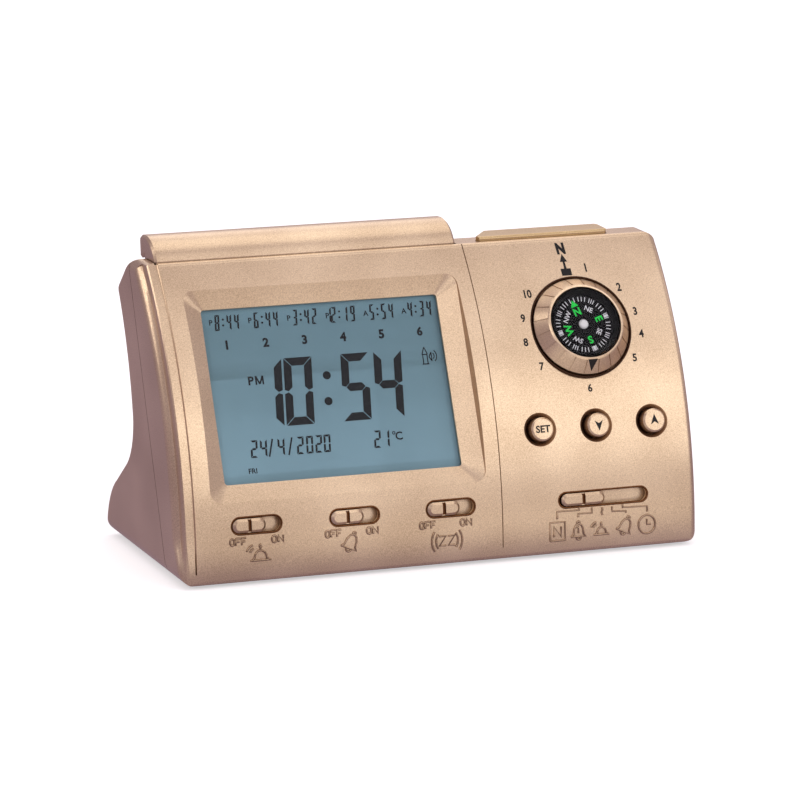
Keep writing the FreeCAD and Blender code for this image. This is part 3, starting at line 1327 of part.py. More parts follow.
nodes["light_plunger"] = plunger(BAR_LEG_Z).translated(Vector(LIGHT_LEG_X, BAR_LEG_Y, 0))
for name, frame in zip(KEY_NAMES, key_frames()):
    nodes[name] = placed(key_cap(), frame)
    nodes[name.replace("key", "plunger")] = placed(plunger(STEM_END), frame)
for slide in SLIDES:
    nodes[slide.name] = slide_knob(slide)
nodes["dial_ring"] = placed(dial_ring(), DIAL_FRAME)
nodes["dial_clip"] = placed(dial_clip(), DIAL_FRAME)
nodes["dial_wiper"] = placed(dial_wiper(), DIAL_FRAME)
nodes["compass_capsule"] = placed(compass_capsule(), DIAL_FRAME)
nodes["compass_pivot"] = placed(compass_pivot(), DIAL_FRAME)
nodes["compass_crystal"] = placed(compass_crystal(), DIAL_FRAME)
nodes["compass_card"] = placed(compass_card(), DIAL_FRAME)
nodes["compass_hub"] = placed(compass_hub(), DIAL_FRAME)
nodes["compass_magnet"] = placed(compass_magnet(), DIAL_FRAME)

TO_ROW = Vector(0, -CASE_DEPTH / 2, FOOT_H)
for name, shape in nodes.items():
    moved = shape.translated(TO_ROW)
    moved.exportStep("parts/" + name + ".step")
    b = moved.BoundBox
    print("%-20s solids %2d  valid %s  x %.1f..%.1f y %.1f..%.1f z %.1f..%.1f" % (
        name, len(moved.Solids), moved.isValid(), b.XMin, b.XMax, b.YMin, b.YMax, b.ZMin, b.ZMax))
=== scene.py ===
# %% [markdown]
# # A table-top prayer clock in champagne lacquer
# The clock's solids come ready made: case, knobs, dial, display and all that sits inside. This lesson
# gives them their surfaces and adds what is printed, moulded or shown on them. Everything is in metres,
# with the origin on the table under the middle of the clock, x to the right and y towards the back.

import math

import bmesh
import bpy
from mathutils import Matrix, Vector


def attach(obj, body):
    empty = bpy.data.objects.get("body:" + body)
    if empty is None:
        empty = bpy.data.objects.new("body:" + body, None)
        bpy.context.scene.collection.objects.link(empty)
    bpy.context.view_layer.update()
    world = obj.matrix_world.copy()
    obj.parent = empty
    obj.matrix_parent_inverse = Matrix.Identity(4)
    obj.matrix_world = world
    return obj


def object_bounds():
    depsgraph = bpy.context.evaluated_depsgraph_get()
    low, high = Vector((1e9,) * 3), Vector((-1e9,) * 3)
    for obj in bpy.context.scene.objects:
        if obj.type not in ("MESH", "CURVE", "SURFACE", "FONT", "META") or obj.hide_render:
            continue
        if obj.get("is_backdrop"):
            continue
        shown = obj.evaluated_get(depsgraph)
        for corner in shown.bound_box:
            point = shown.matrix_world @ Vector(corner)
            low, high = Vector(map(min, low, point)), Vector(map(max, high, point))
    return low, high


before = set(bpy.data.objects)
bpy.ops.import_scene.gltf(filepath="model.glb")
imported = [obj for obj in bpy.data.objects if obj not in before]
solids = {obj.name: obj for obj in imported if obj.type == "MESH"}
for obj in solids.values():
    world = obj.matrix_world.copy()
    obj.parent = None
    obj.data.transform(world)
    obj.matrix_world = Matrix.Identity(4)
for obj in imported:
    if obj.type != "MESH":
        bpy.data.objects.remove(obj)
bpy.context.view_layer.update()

# %% [markdown]
# ## Camera
# The photograph was taken with a long lens from a little to the left and a little above. A long lens
# keeps the clock's long edges nearly parallel. The place and angle below were found by matching the
# corners of the case, so the picture is as close as the shape of the case is.

# %% Set up the camera
LENS = 204.4
CAMERA_PLACE = Vector((-0.4829, -1.2846, 0.3452))
CAMERA_AIM = Vector((0.3434, 0.9145, -0.2141))
CAMERA_ROLL = math.radians(0.14)


def make_camera():
    data = bpy.data.cameras.new("photo_camera")
    data.lens = LENS
    data.sensor_width = 36.0
    data.clip_start = 0.05
    data.clip_end = 60.0
    camera = bpy.data.objects.new("photo_camera", data)
    bpy.context.scene.collection.objects.link(camera)
    turn = CAMERA_AIM.to_track_quat("-Z", "Y").to_matrix() @ Matrix.Rotation(CAMERA_ROLL, 3, "Z")
    camera.matrix_world = Matrix.Translation(CAMERA_PLACE) @ turn.to_4x4()
    bpy.context.scene.camera = camera
    return camera


camera = make_camera()
print("camera at", [round(v, 3) for v in camera.location])

# %% [markdown]
# ## Node helpers
# Every finish below is a small net of shader nodes. Noise in object space gives it grain, so the grain
# has a real size in millimetres and stays put when the piece moves. A few helpers keep the nets short:
# they add a node with its settings, start a material, make noise of a given grain size, mix colours or
# shaders, and turn a colour on the screen into light.

# %% Small helpers for shader nodes
MM = 0.001


def add_node(material, kind, **settings):
    node = material.node_tree.nodes.new(kind)
    for key, value in settings.items():
        if key in node.inputs:
            node.inputs[key].default_value = value
        else:
            setattr(node, key, value)
    return node


def new_material(name, **sockets):
    material = bpy.data.materials.new(name)
    material.use_nodes = True
    shader = material.node_tree.nodes["Principled BSDF"]
    for key, value in sockets.items():
        shader.inputs[key.replace("_", " ")].default_value = value
    return material, shader


def grain(material, size_mm, detail=2.0, roughness=0.5, stretch=(1, 1, 1)):
    place = add_node(material, "ShaderNodeTexCoord")
    scale = add_node(material, "ShaderNodeMapping", Scale=[s / (size_mm * MM) for s in stretch])
    noise = add_node(material, "ShaderNodeTexNoise", Scale=1.0, Detail=detail, Roughness=roughness)
    material.node_tree.links.new(place.outputs["Object"], scale.inputs["Vector"])
    material.node_tree.links.new(scale.outputs["Vector"], noise.inputs["Vector"])
    return noise.outputs["Fac"]


def spread(material, value, low, high, start=0.3, end=0.7):
    """Map a noise value to the range from low to high."""
    node = add_node(material, "ShaderNodeMapRange")
    for key, number in (("From Min", start), ("From Max", end), ("To Min", low), ("To Max", high)):
        node.inputs[key].default_value = number
    material.node_tree.links.new(value, node.inputs["Value"])
    return node.outputs["Result"]


def blend_colours(material, value, first, second):
    """Go from the first colour to the second as value rises. Each may come from another node."""
    node = add_node(material, "ShaderNodeMix", data_type="RGBA")
    sockets = [socket for socket in node.inputs if socket.type == "RGBA"]
    for socket, colour in zip(sockets, (first, second)):
        if isinstance(colour, bpy.types.NodeSocket):
            material.node_tree.links.new(colour, socket)
        else:
            socket.default_value = colour
    material.node_tree.links.new(value, node.inputs["Factor"])
    return [socket for socket in node.outputs if socket.type == "RGBA"][0]


def blend_shaders(material, value, first, second):
    """Go from the first shader to the second as value rises."""
    node = add_node(material, "ShaderNodeMixShader")
    for socket, output in zip(node.inputs, (value, first, second)):
        material.node_tree.links.new(output, socket)
    return node.outputs[0]


def rough_up(material, shader, value, strength, depth_mm):
    bump = add_node(material, "ShaderNodeBump", Strength=strength, Distance=depth_mm * MM)
    material.node_tree.links.new(value, bump.inputs["Height"])
    material.node_tree.links.new(bump.outputs["Normal"], shader.inputs["Normal"])


def srgb(r, g, b):
    """A colour as a screen shows it, from 0 to 255, turned into light."""
    def light(c):
        c /= 255
        return c / 12.92 if c <= 0.04045 else ((c + 0.055) / 1.055) ** 2.4
    return (light(r), light(g), light(b), 1)


print("helpers ready; white is", srgb(255, 255, 255))

# %% [markdown]
# ## Studio
# Metallic lacquer shows what surrounds it, so the light decides how it looks. Two wide soft lights stand
# in front, one high and one low, and a third hangs overhead. Smaller ones at the left and right edge the
# pillar and the window, and one behind lights the back. The room is dim and violet, so faces that turn
# away from the lights go mauve. The table is a plain white sheet that is also the background. The lacquer
# sees it as dim mauve, but for a white card in front that lights the lower edge.

# %% Floor, room and lamps
ROOM_COLOUR = (0.32, 0.26, 0.34, 1)
FLOOR_SIZE = 16.0
FLOOR_GLOW = 0.5
PAINT = (0.8, 0.8, 0.8, 1)
CARD_PLACE = (0.06, -0.2, 0.0)
CARD_SQUEEZE = (0.5, 1, 1)
CARD_EDGE = (0.06, 0.15)
CARD_TONE = (1.3, 1.22, 1.16, 1)
TABLE_TONE = (0.31, 0.235, 0.33, 1)


def white_table():
    """White paint. The camera sees it at full white, the lacquer sees it dim but for a card in front."""
    material = bpy.data.materials.new("white_table")
    material.use_nodes = True
    links = material.node_tree.links
    material.node_tree.nodes.clear()
    paint = add_node(material, "ShaderNodeBsdfDiffuse", Color=PAINT)
    glow = add_node(material, "ShaderNodeEmission", Strength=FLOOR_GLOW)
    gloss = add_node(material, "ShaderNodeEmission")

    place = add_node(material, "ShaderNodeNewGeometry")
    shift = add_node(material, "ShaderNodeVectorMath", operation="SUBTRACT")
    squeeze = add_node(material, "ShaderNodeVectorMath", operation="MULTIPLY")
    distance = add_node(material, "ShaderNodeVectorMath", operation="LENGTH")
    shift.inputs[1].default_value = CARD_PLACE
    squeeze.inputs[1].default_value = CARD_SQUEEZE
    links.new(place.outputs["Position"], shift.inputs[0])
    links.new(shift.outputs["Vector"], squeeze.inputs[0])
    links.new(squeeze.outputs["Vector"], distance.inputs[0])
    fade = spread(material, distance.outputs["Value"], 0.0, 1.0, *CARD_EDGE)
    links.new(blend_colours(material, fade, CARD_TONE, TABLE_TONE), gloss.inputs["Color"])

    path = add_node(material, "ShaderNodeLightPath")
    direct = add_node(material, "ShaderNodeMath", operation="MAXIMUM")
    links.new(path.outputs["Is Camera Ray"], direct.inputs[0])
    links.new(path.outputs["Is Transmission Ray"], direct.inputs[1])
    both = add_node(material, "ShaderNodeAddShader")
    links.new(paint.outputs[0], both.inputs[0])
    links.new(glow.outputs[0], both.inputs[1])
    plain = blend_shaders(material, direct.outputs[0], paint.outputs[0], both.outputs[0])
    seen = blend_shaders(material, path.outputs["Is Glossy Ray"], plain, gloss.outputs[0])
    links.new(seen, add_node(material, "ShaderNodeOutputMaterial").inputs["Surface"])
    return material


def make_floor():
    mesh = bpy.data.meshes.new("floor")
    h = FLOOR_SIZE / 2
    mesh.from_pydata([(-h, -h, 0), (h, -h, 0), (h, h, 0), (-h, h, 0)], [], [(0, 1, 2, 3)])
    floor = bpy.data.objects.new("floor", mesh)
    bpy.context.scene.collection.objects.link(floor)
    mesh.materials.append(white_table())
    floor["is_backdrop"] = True


def make_room():
    world = bpy.data.worlds.new("room")
    bpy.context.scene.world = world
    world.use_nodes = True
    back = world.node_tree.nodes["Background"]
    back.inputs["Color"].default_value = ROOM_COLOUR
    back.inputs["Strength"].default_value = 1.0


def make_lamp(name, place, aim, width, height, power, colour):
    data = bpy.data.lights.new(name, "AREA")
    data.shape = "RECTANGLE"
    data.size = width
    data.size_y = height
    data.energy = power
    data.color = colour
    lamp = bpy.data.objects.new(name, data)
    bpy.context.scene.collection.objects.link(lamp)
    lamp.location = place
    lamp.rotation_euler = (Vector(aim) - Vector(place)).to_track_quat("-Z", "Y").to_euler()


make_floor()
make_room()
CENTRE = (0, 0, 0.05)
LAMPS = (("front_high", (0.42, -1.12, 1.55), 2.8, 1.1, 6.9, (1.0, 1.0, 0.97)),
         ("front_low", (0.6, -1.6, 0.68), 2.8, 0.9, 10.5, (1.0, 1.0, 0.97)),
         ("overhead", (0.0, 0.35, 1.55), 1.8, 1.2, 7.6, (1.0, 0.99, 0.94)),
         ("left_front", (-1.05, -0.95, 0.8), 0.7, 0.7, 3.2, (1.0, 0.99, 0.95)),
         ("left_strip", (-1.35, 0.5, 0.7), 0.3, 0.7, 2.6, (1.0, 0.98, 0.95)),
         ("right_strip", (1.4, 0.1, 0.55), 0.6, 0.7, 0.8, (1.0, 0.98, 0.93)),
         ("back_fill", (0.5, 1.5, 1.1), 1.4, 1.0, 5.0, (1.0, 0.98, 0.95)))
for name, place, width, height, power, colour in LAMPS:
    make_lamp(name, place, CENTRE, width, height, power, colour)
bpy.context.scene.view_settings.view_transform = "Standard"
print("lamps:", [lamp[0] for lamp in LAMPS])

# %% [markdown]
# ## Champagne lacquer
# The case, the bars, the knobs and the dial ring share one sprayed finish: tiny metal flakes in a warm
# clear varnish. Seen close it sparkles and is never one flat tone. It could be a picture of flakes, but
# noise does the same with no seams: fine noise moves the tone and the gloss of each flake, a broad one
# stands for uneven spraying, and a faint bump roughens it like moulded plastic under paint. In narrow
# gaps the colour is darkened to brown as painted shade. The smaller bar on the top is a little more olive
# than the rest.

# %% Make the lacquer
FLAKE = 0.3
CREVICE_REACH = 2.6
# Painted shade: the dark brown that the lacquer is darkened to in narrow gaps.
PAINTED_CREVICE_SHADE = srgb(112, 68, 34)


def painted_crevice_shade(material, paint):
    """Painted shade: darken the paint to a dark brown in narrow gaps, where little light gets in."""
    depth = add_node(material, "ShaderNodeAmbientOcclusion", samples=8, Distance=CREVICE_REACH * MM)
    open_to_light = spread(material, depth.outputs["AO"], 0.0, 1.0, 0.18, 0.62)
    return blend_colours(material, open_to_light, PAINTED_CREVICE_SHADE, paint)


def lacquer(name, dark, light, roughness):
    material, shader = new_material(name, Metallic=0.9)
    flakes = grain(material, FLAKE, detail=3.0, roughness=0.7)
    cloud = grain(material, 22.0, detail=1.0)
    links = material.node_tree.links
    tone = add_node(material, "ShaderNodeMath", operation="MULTIPLY_ADD")
    tone.inputs[1].default_value = 0.75
    links.new(spread(material, flakes, 0.0, 1.0), tone.inputs[0])
    links.new(spread(material, cloud, 0.0, 0.25), tone.inputs[2])
    paint = blend_colours(material, tone.outputs[0], dark, light)
    # Painted shade: ambient occlusion darkens the base colour in narrow gaps.
    links.new(painted_crevice_shade(material, paint), shader.inputs["Base Color"])
    links.new(spread(material, flakes, roughness + 0.05, roughness - 0.05), shader.inputs["Roughness"])
    rough_up(material, shader, flakes, 0.04, 0.02)
    shader.inputs["Coat Weight"].default_value = 0.15
    shader.inputs["Coat Roughness"].default_value = 0.3
    return material


champagne = lacquer("champagne_lacquer", srgb(186, 157, 124), srgb(252, 227, 192), 0.33)
olive = lacquer("olive_lacquer", srgb(176, 146, 104), srgb(228, 200, 150), 0.34)
print("lacquer nodes:", len(champagne.node_tree.nodes))


def finish_with(material, *names):
    for name in names:
        solid = solids[name]
        solid.data.materials.clear()
        solid.data.materials.append(material)


LACQUERED = ("front_cover", "rear_cover", "battery_door", "snooze_bar", "set_key", "down_key", "up_key",
             "left_slide_knob", "middle_slide_knob", "right_slide_knob", "selector_knob", "dial_ring")
finish_with(champagne, *LACQUERED)
finish_with(olive, "light_key")

# %% [markdown]
# ## Plain moulded plastics and rubber
# Inside the case most pieces are unpainted plastic. Moulded plastic has a fine spark-eroded texture, so
# its gloss varies by a few hundredths and its surface by a few microns. One recipe with other colours
# serves the white tray, the grey and black switches, the rubber feet and the dial's black parts.

# %% Make and apply the plastics
def moulded(name, colour, roughness, grain_mm=0.35, bump=0.15, variety=0.06, specular=0.5):
    material, shader = new_material(name, Specular_IOR_Level=specular)
    noise = grain(material, grain_mm, detail=3.0)
    cloud = grain(material, 14.0, detail=1.0)
    dark = tuple(c * (1 - variety) for c in colour[:3]) + (1,)
    light = tuple(min(1.0, c * (1 + variety)) for c in colour[:3]) + (1,)
    links = material.node_tree.links
    tone = blend_colours(material, spread(material, cloud, 0, 1), dark, light)
    links.new(tone, shader.inputs["Base Color"])
    links.new(spread(material, noise, roughness - 0.05, roughness + 0.06), shader.inputs["Roughness"])
    rough_up(material, shader, noise, bump, 0.02)
    return material


white_plastic = moulded("white_plastic", srgb(226, 226, 220), 0.42)
grey_plastic = moulded("grey_plastic", srgb(120, 122, 126), 0.45)
black_plastic = moulded("black_plastic", srgb(30, 30, 32), 0.38)
key_plastic = moulded("switch_stem_plastic", srgb(205, 120, 60), 0.4)
epoxy = moulded("black_epoxy", srgb(22, 22, 24), 0.22, grain_mm=2.5, bump=0.3)
rubber = moulded("rubber", srgb(38, 37, 38), 0.75, grain_mm=0.5, bump=0.35, variety=0.15)

finish_with(white_plastic, "lcd_holder", "snooze_plungers", "light_plunger", "dial_clip")
finish_with(key_plastic, "set_plunger", "down_plunger", "up_plunger")
finish_with(grey_plastic, "slide_switches", "selector_switch")
finish_with(black_plastic, "key_switches", "top_switches", "compass_capsule")
finish_with(epoxy, "processor_cap", "temperature_sensor")
finish_with(rubber, "rubber_feet")
print("plastics:", [m.name for m in bpy.data.materials][-6:])

# %% [markdown]
# ## Circuit boards
# The boards are green lacquered fibreglass, and the dial's contact plate is brown. Copper runs under the
# lacquer show as slightly lighter, raised tracks. They are drawn by a brick pattern of long thin cells,
# which gives parallel runs with jogs in them like real wiring, with small round pads from a dot pattern.

# %% Make and apply the board material
TRACK_LENGTH, TRACK_PITCH, TRACK_WIDTH = 11 * MM, 1.9 * MM, 0.22 * MM
TRACK_TURN = math.radians(65)
PADS_PER_METRE = 260.0


def circuit_board(name, mask, copper):
    material, shader = new_material(name, Roughness=0.35, Specular_IOR_Level=0.5)
    links = material.node_tree.links
    place = add_node(material, "ShaderNodeTexCoord")
    tracks = add_node(material, "ShaderNodeTexBrick", offset=0.5)
    for key, value in (("Scale", 1.0), ("Mortar Size", TRACK_WIDTH), ("Brick Width", TRACK_LENGTH),
                       ("Row Height", TRACK_PITCH), ("Mortar Smooth", 0.1), ("Bias", 0.0)):
        tracks.inputs[key].default_value = value
    turn = add_node(material, "ShaderNodeMapping", Rotation=(TRACK_TURN, 0, 0))
    links.new(place.outputs["Object"], turn.inputs["Vector"])
    links.new(turn.outputs["Vector"], tracks.inputs["Vector"])
    dots = add_node(material, "ShaderNodeTexVoronoi", Scale=PADS_PER_METRE, Randomness=0.25)
    links.new(turn.outputs["Vector"], dots.inputs["Vector"])
    pads = spread(material, dots.outputs["Distance"], 1.0, 0.0, 0.10, 0.13)
    wired = blend_colours(material, tracks.outputs["Fac"], mask, tuple(c * 1.7 for c in mask[:3]) + (1,))
    links.new(blend_colours(material, pads, wired, copper), shader.inputs["Base Color"])
    links.new(pads, shader.inputs["Metallic"])
    rough_up(material, shader, tracks.outputs["Fac"], 0.4, 0.03)
    return material


green_board = circuit_board("green_board", srgb(22, 84, 52), srgb(205, 200, 190))
brown_board = circuit_board("brown_board", srgb(150, 106, 62), srgb(206, 160, 96))
finish_with(green_board, "main_board", "key_board", "switch_board", "top_board")
finish_with(brown_board, "dial_contact_plate")
print("boards done")

# %% [markdown]
# ## Metals
# Screws, springs and contacts are plated steel, the compass needle point is brass, and the speaker has a
# dull magnet. Plated parts carry fine scratches, so stretched noise breaks up the gloss, and a broader
# noise moves the tone.

# %% Make and apply the metals
def metal(name, colour, roughness, scratch_mm=0.5):
    material, shader = new_material(name, Metallic=1.0)
    scratches = grain(material, scratch_mm, detail=4.0, stretch=(1.0, 0.15, 1.0))
    cloud = grain(material, 4.0)
    links = material.node_tree.links
    dark = tuple(c * 0.8 for c in colour[:3]) + (1,)
    tone = blend_colours(material, spread(material, cloud, 0, 1), dark, colour)
    links.new(tone, shader.inputs["Base Color"])
    links.new(spread(material, scratches, roughness - 0.08, roughness + 0.1), shader.inputs["Roughness"])
    rough_up(material, shader, scratches, 0.15, 0.01)
    return material


plated_steel = metal("plated_steel", srgb(205, 206, 208), 0.28)
spring_steel = metal("nickel_spring", srgb(196, 190, 178), 0.32)
brass = metal("brass", srgb(214, 176, 96), 0.25)
ferrite = metal("ferrite", srgb(70, 70, 74), 0.6, scratch_mm=1.2)
finish_with(plated_steel, "board_screws", "case_screws", "quartz_crystal", "speaker_frame")
finish_with(spring_steel, "battery_contacts", "battery_springs", "dial_wiper", "compass_magnet")
finish_with(brass, "compass_pivot")
finish_with(ferrite, "speaker_magnet")
print("metals done")

# %% [markdown]
# ## Battery sleeve, speaker paper and conductive strip
# The cells wear a plain dark sleeve with a lighter band at one end and bare metal at the other. The
# speaker's cone is pressed paper, fibrous and matt. The strip that joins the display to its board is
# rubber in thin black and white layers, which a wave pattern along its length draws.

# %% Make and apply them
def banded(name, axis, edges_mm, colours, roughness):
    """Colours in bands along one axis of the object, with soft grain."""
    material, shader = new_material(name, Roughness=roughness)
    links = material.node_tree.links
    place = add_node(material, "ShaderNodeTexCoord")
    split = add_node(material, "ShaderNodeSeparateXYZ")
    links.new(place.outputs["Object"], split.inputs[0])
    ramp = add_node(material, "ShaderNodeValToRGB")
    ramp.color_ramp.interpolation = "CONSTANT"
    low, high = edges_mm[0], edges_mm[-1]
    value = spread(material, split.outputs[axis], 0.0, 1.0, low * MM, high * MM)
    while len(ramp.color_ramp.elements) < len(colours):
        ramp.color_ramp.elements.new(1.0)
    for element, edge, colour in zip(ramp.color_ramp.elements, edges_mm, colours):
        element.position = (edge - low) / (high - low)
        element.color = colour
    links.new(value, ramp.inputs["Fac"])
    links.new(ramp.outputs["Color"], shader.inputs["Base Color"])
    noise = grain(material, 0.4, detail=3.0)
    links.new(spread(material, noise, roughness - 0.05, roughness + 0.05), shader.inputs["Roughness"])
    rough_up(material, shader, noise, 0.1, 0.02)
    return material


sleeve_dark, sleeve_band, tip_metal = srgb(44, 54, 50), srgb(190, 160, 84), srgb(190, 190, 188)
cell_sleeve = banded("cell_sleeve", 0, (-30, -24.5, 24.5, 30), (tip_metal, sleeve_dark, sleeve_band), 0.3)
finish_with(cell_sleeve, "battery_cells")
paper = moulded("cone_paper", srgb(52, 50, 48), 0.85, grain_mm=0.8, bump=0.5, variety=0.2)
finish_with(paper, "speaker_cone")


RUBBER_LAYER = 0.2 * MM


def layered_rubber():
    material, shader = new_material("layered_rubber", Roughness=0.7)
    place = add_node(material, "ShaderNodeTexCoord")
    layers = add_node(material, "ShaderNodeTexWave", Scale=1.0 / RUBBER_LAYER, bands_direction="X")
    material.node_tree.links.new(place.outputs["Object"], layers.inputs["Vector"])
    colour = blend_colours(material, layers.outputs["Fac"], srgb(28, 28, 28), srgb(215, 212, 205))
    material.node_tree.links.new(colour, shader.inputs["Base Color"])
    return material


finish_with(layered_rubber(), "strip_connector")
print("sleeve, paper and strip done")

# %% [markdown]
# ## Where prints go
# Prints and raised marks are drawn flat, in millimetres, and then laid on the clock. The front is part of
# a cylinder that lies along x, so a mark keeps its x and its height and takes its depth from the arc. The
# display, the dial and the keys are flat and lean back, each by its own angle. Each surface gets a small
# function that turns (across, up, out) into a place in space; every mark below is laid by one of these.

# %% Functions that lay a flat drawing on a surface
FRONT_R = 133.0
FOOT_Y, FOOT_Z = -37.5, 1.0
SCREEN_PLACE = (-29.66, 16.0, 54.075)
SCREEN_LEAN = math.radians(24.8)
DISPLAY_FACE = -4.7
DIAL_X, DIAL_Z = 51.7, 66.75
KEY_X, KEY_Z = (33.3, 51.85, 70.4), 38.23


def on_front(across, height, out=0.0):
    """A place on the curved front, given by x and z in the case's own frame."""
    lean = math.asin(height / FRONT_R)
    reach = FRONT_R + out
    back, up = FRONT_R - reach * math.cos(lean), reach * math.sin(lean)
    return Vector((across, FOOT_Y + back, FOOT_Z + up)) * MM


def on_plane(centre, lean):
    """A function that lays drawings on a plane through centre, leaning back by lean."""
    up = Vector((0, math.sin(lean), math.cos(lean)))
    outward = Vector((0, -math.cos(lean), math.sin(lean)))
    base = Vector((centre[0], centre[1] + FOOT_Y, centre[2] + FOOT_Z))

    def place(across, height, out=0.0):
        return (base + Vector((across, 0, 0)) + up * height + outward * out) * MM
    return place


def on_front_tangent(x, z):
    lean = math.asin(z / FRONT_R)
    return on_plane((x, FRONT_R - FRONT_R * math.cos(lean), z), lean)


on_screen = on_plane(SCREEN_PLACE, SCREEN_LEAN)
on_dial = on_front_tangent(DIAL_X, DIAL_Z)
on_keys = [on_front_tangent(x, KEY_Z) for x in KEY_X]
for name, centre in (("screen", on_screen(0, 0)), ("dial", on_dial(0, 0))):
    print(name, "centre", [round(v, 4) for v in centre])

# %% [markdown]
# ## Drawing tools
# Three tools make every mark. `slabs` turns flat outlines into thin plates, for printed shapes and display
# segments. `lettering` does the same with figures and letters of the built-in font. `ribs` runs a thin
# round bead along strokes, for the marks that are moulded raised in the case. Each mark becomes a piece of
# its own that rides on the body that carries it.

# %% Tools that draw slabs, lettering and ribs
def add_piece(name, mesh, material, body, smooth=False):
    mesh.materials.clear()
    mesh.materials.append(material)
    for face in mesh.polygons:
        face.use_smooth = smooth
    piece = bpy.data.objects.new(name, mesh)
    bpy.context.scene.collection.objects.link(piece)
    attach(piece, body)
    return piece


def slabs(name, outlines, place, low, high, material, body):
    """Plates with the given outlines, from low to high above the surface, in mm."""
    mesh = bpy.data.meshes.new(name)
    shape = bmesh.new()
    for outline in outlines:
        under = [shape.verts.new(place(u, v, low)) for u, v in outline]
        over = [shape.verts.new(place(u, v, high)) for u, v in outline]
        shape.faces.new(over)
        shape.faces.new(list(reversed(under)))
        for i in range(len(outline)):
            j = (i + 1) % len(outline)
            shape.faces.new((under[i], under[j], over[j], over[i]))
    bmesh.ops.recalc_face_normals(shape, faces=shape.faces[:])
    shape.to_mesh(mesh)
    shape.free()
    return add_piece(name, mesh, material, body)


def curve_mesh(curve):
    """Turn a curve or text into a mesh and remove the curve."""
    holder = bpy.data.objects.new("drawing", curve)
    bpy.context.scene.collection.objects.link(holder)
    bpy.context.view_layer.update()
    depsgraph = bpy.context.evaluated_depsgraph_get()
    mesh = bpy.data.meshes.new_from_object(holder.evaluated_get(depsgraph))
    bpy.data.objects.remove(holder)
    bpy.data.curves.remove(curve)
    return mesh


def lettering(name, words, place, material, body, low=-0.02, high=0.04):
    """Print (text, centre across, centre height, letter height, boldness) entries as one piece."""
    shape = bmesh.new()
    for text, u, v, height, bold in words:
        curve = bpy.data.curves.new("text", "FONT")
        curve.body = text
        curve.align_x = "CENTER"
        curve.size = 1.0
        curve.resolution_u = 3
        curve.offset = bold
        curve.extrude = 0.5
        mesh = curve_mesh(curve)
        top = max(vert.co.y for vert in mesh.vertices)
        foot = min(vert.co.y for vert in mesh.vertices)
        scale = height / (top - foot)
        for vert in mesh.vertices:
            out = high if vert.co.z > 0 else low
            vert.co = place(u + vert.co.x * scale, v + (vert.co.y - (top + foot) / 2) * scale, out)
        shape.from_mesh(mesh)
        bpy.data.meshes.remove(mesh)
    bmesh.ops.recalc_face_normals(shape, faces=shape.faces[:])
    joined = bpy.data.meshes.new(name)
    shape.to_mesh(joined)
    shape.free()
    return add_piece(name, joined, material, body)


def ribs(name, strokes, place, radius, material, body, sink=0.0):
    """Round beads along strokes; a stroke is a list of (across, height) points."""
    curve = bpy.data.curves.new(name, "CURVE")
    curve.dimensions = "3D"
    curve.bevel_depth = radius * MM
    curve.bevel_resolution = 2
    curve.use_fill_caps = True
    for stroke in strokes:
        spline = curve.splines.new("POLY")
        spline.points.add(len(stroke) - 1)
        for point, (u, v) in zip(spline.points, stroke):
            point.co = place(u, v, -sink).to_4d()
    return add_piece(name, curve_mesh(curve), material, body, smooth=True)


def arc(cx, cy, rx, ry, start, end, steps=12):
    """Points along part of an ellipse, angles in degrees from the right, anticlockwise."""
    turns = [math.radians(start + (end - start) * i / steps) for i in range(steps + 1)]
    return [(cx + rx * math.cos(a), cy + ry * math.sin(a)) for a in turns]


print("drawing tools ready")

# %% [markdown]
# ## Display glass and its window
# A reflective liquid-crystal display looks like blue-grey paper behind glass: no colour of its own, a
# slight fall of tone towards the top where the frame shades it, and hardly any shine. The clear window in
# front only adds a thin gloss, so it is made of almost transparent plastic with faint hard-coat ripples.

# %% Make and apply the display and window materials
HALF_SCREEN = 27


def display_glass():
    material, shader = new_material("display_glass", Roughness=0.42, Specular_IOR_Level=0.08)
    links = material.node_tree.links
    place = add_node(material, "ShaderNodeTexCoord")
    split = add_node(material, "ShaderNodeSeparateXYZ")
    links.new(place.outputs["Object"], split.inputs[0])
    low, high = on_screen(0, -HALF_SCREEN).z, on_screen(0, HALF_SCREEN).z
    rise = spread(material, split.outputs[2], 0.0, 1.0, low, high)
    cloud = grain(material, 9.0, detail=2.0)
    tone = add_node(material, "ShaderNodeMath", operation="MULTIPLY_ADD")
    tone.inputs[1].default_value = 0.12
    links.new(cloud, tone.inputs[0])
    links.new(rise, tone.inputs[2])
    links.new(blend_colours(material, tone.outputs[0], srgb(134, 172, 185), srgb(120, 157, 169)),
              shader.inputs["Base Color"])
    fine = grain(material, 0.12, detail=1.0)
    links.new(spread(material, fine, 0.38, 0.48), shader.inputs["Roughness"])
    return material


def window_plastic():
    material, shader = new_material("window_plastic", IOR=1.49, Alpha=0.03)
    shader.inputs["Base Color"].default_value = srgb(225, 235, 238)
    ripple = grain(material, 6.0, detail=1.0)
    material.node_tree.links.new(spread(material, ripple, 0.06, 0.06 + 0.05), shader.inputs["Roughness"])
    return material


finish_with(display_glass(), "lcd_panel")
finish_with(window_plastic(), "display_lens")
milky = moulded("milky_acrylic", srgb(228, 236, 238), 0.3, bump=0.05)
finish_with(milky, "light_guide", "backlight_led")
print("the display's face lies", -DISPLAY_FACE, "mm behind the plane of on_screen")

# %% [markdown]
# ## Figures on the display
# Liquid-crystal figures are built from bars with slanted ends and hair-thin gaps, so that any figure can be
# shown with the same seven bars. Each bar is a flat outline; a table says which bars make which figure.
# Drawing bars, not font letters, is what makes it read as a display.

# %% The seven bars of a figure
BARS = {"0": "abcdef", "1": "bc", "2": "abged", "3": "abgcd", "4": "fgbc", "5": "afgcd", "6": "afgcde",
        "7": "abc", "8": "abcdefg", "9": "abcdfg"}


DOT_SIDES = 16


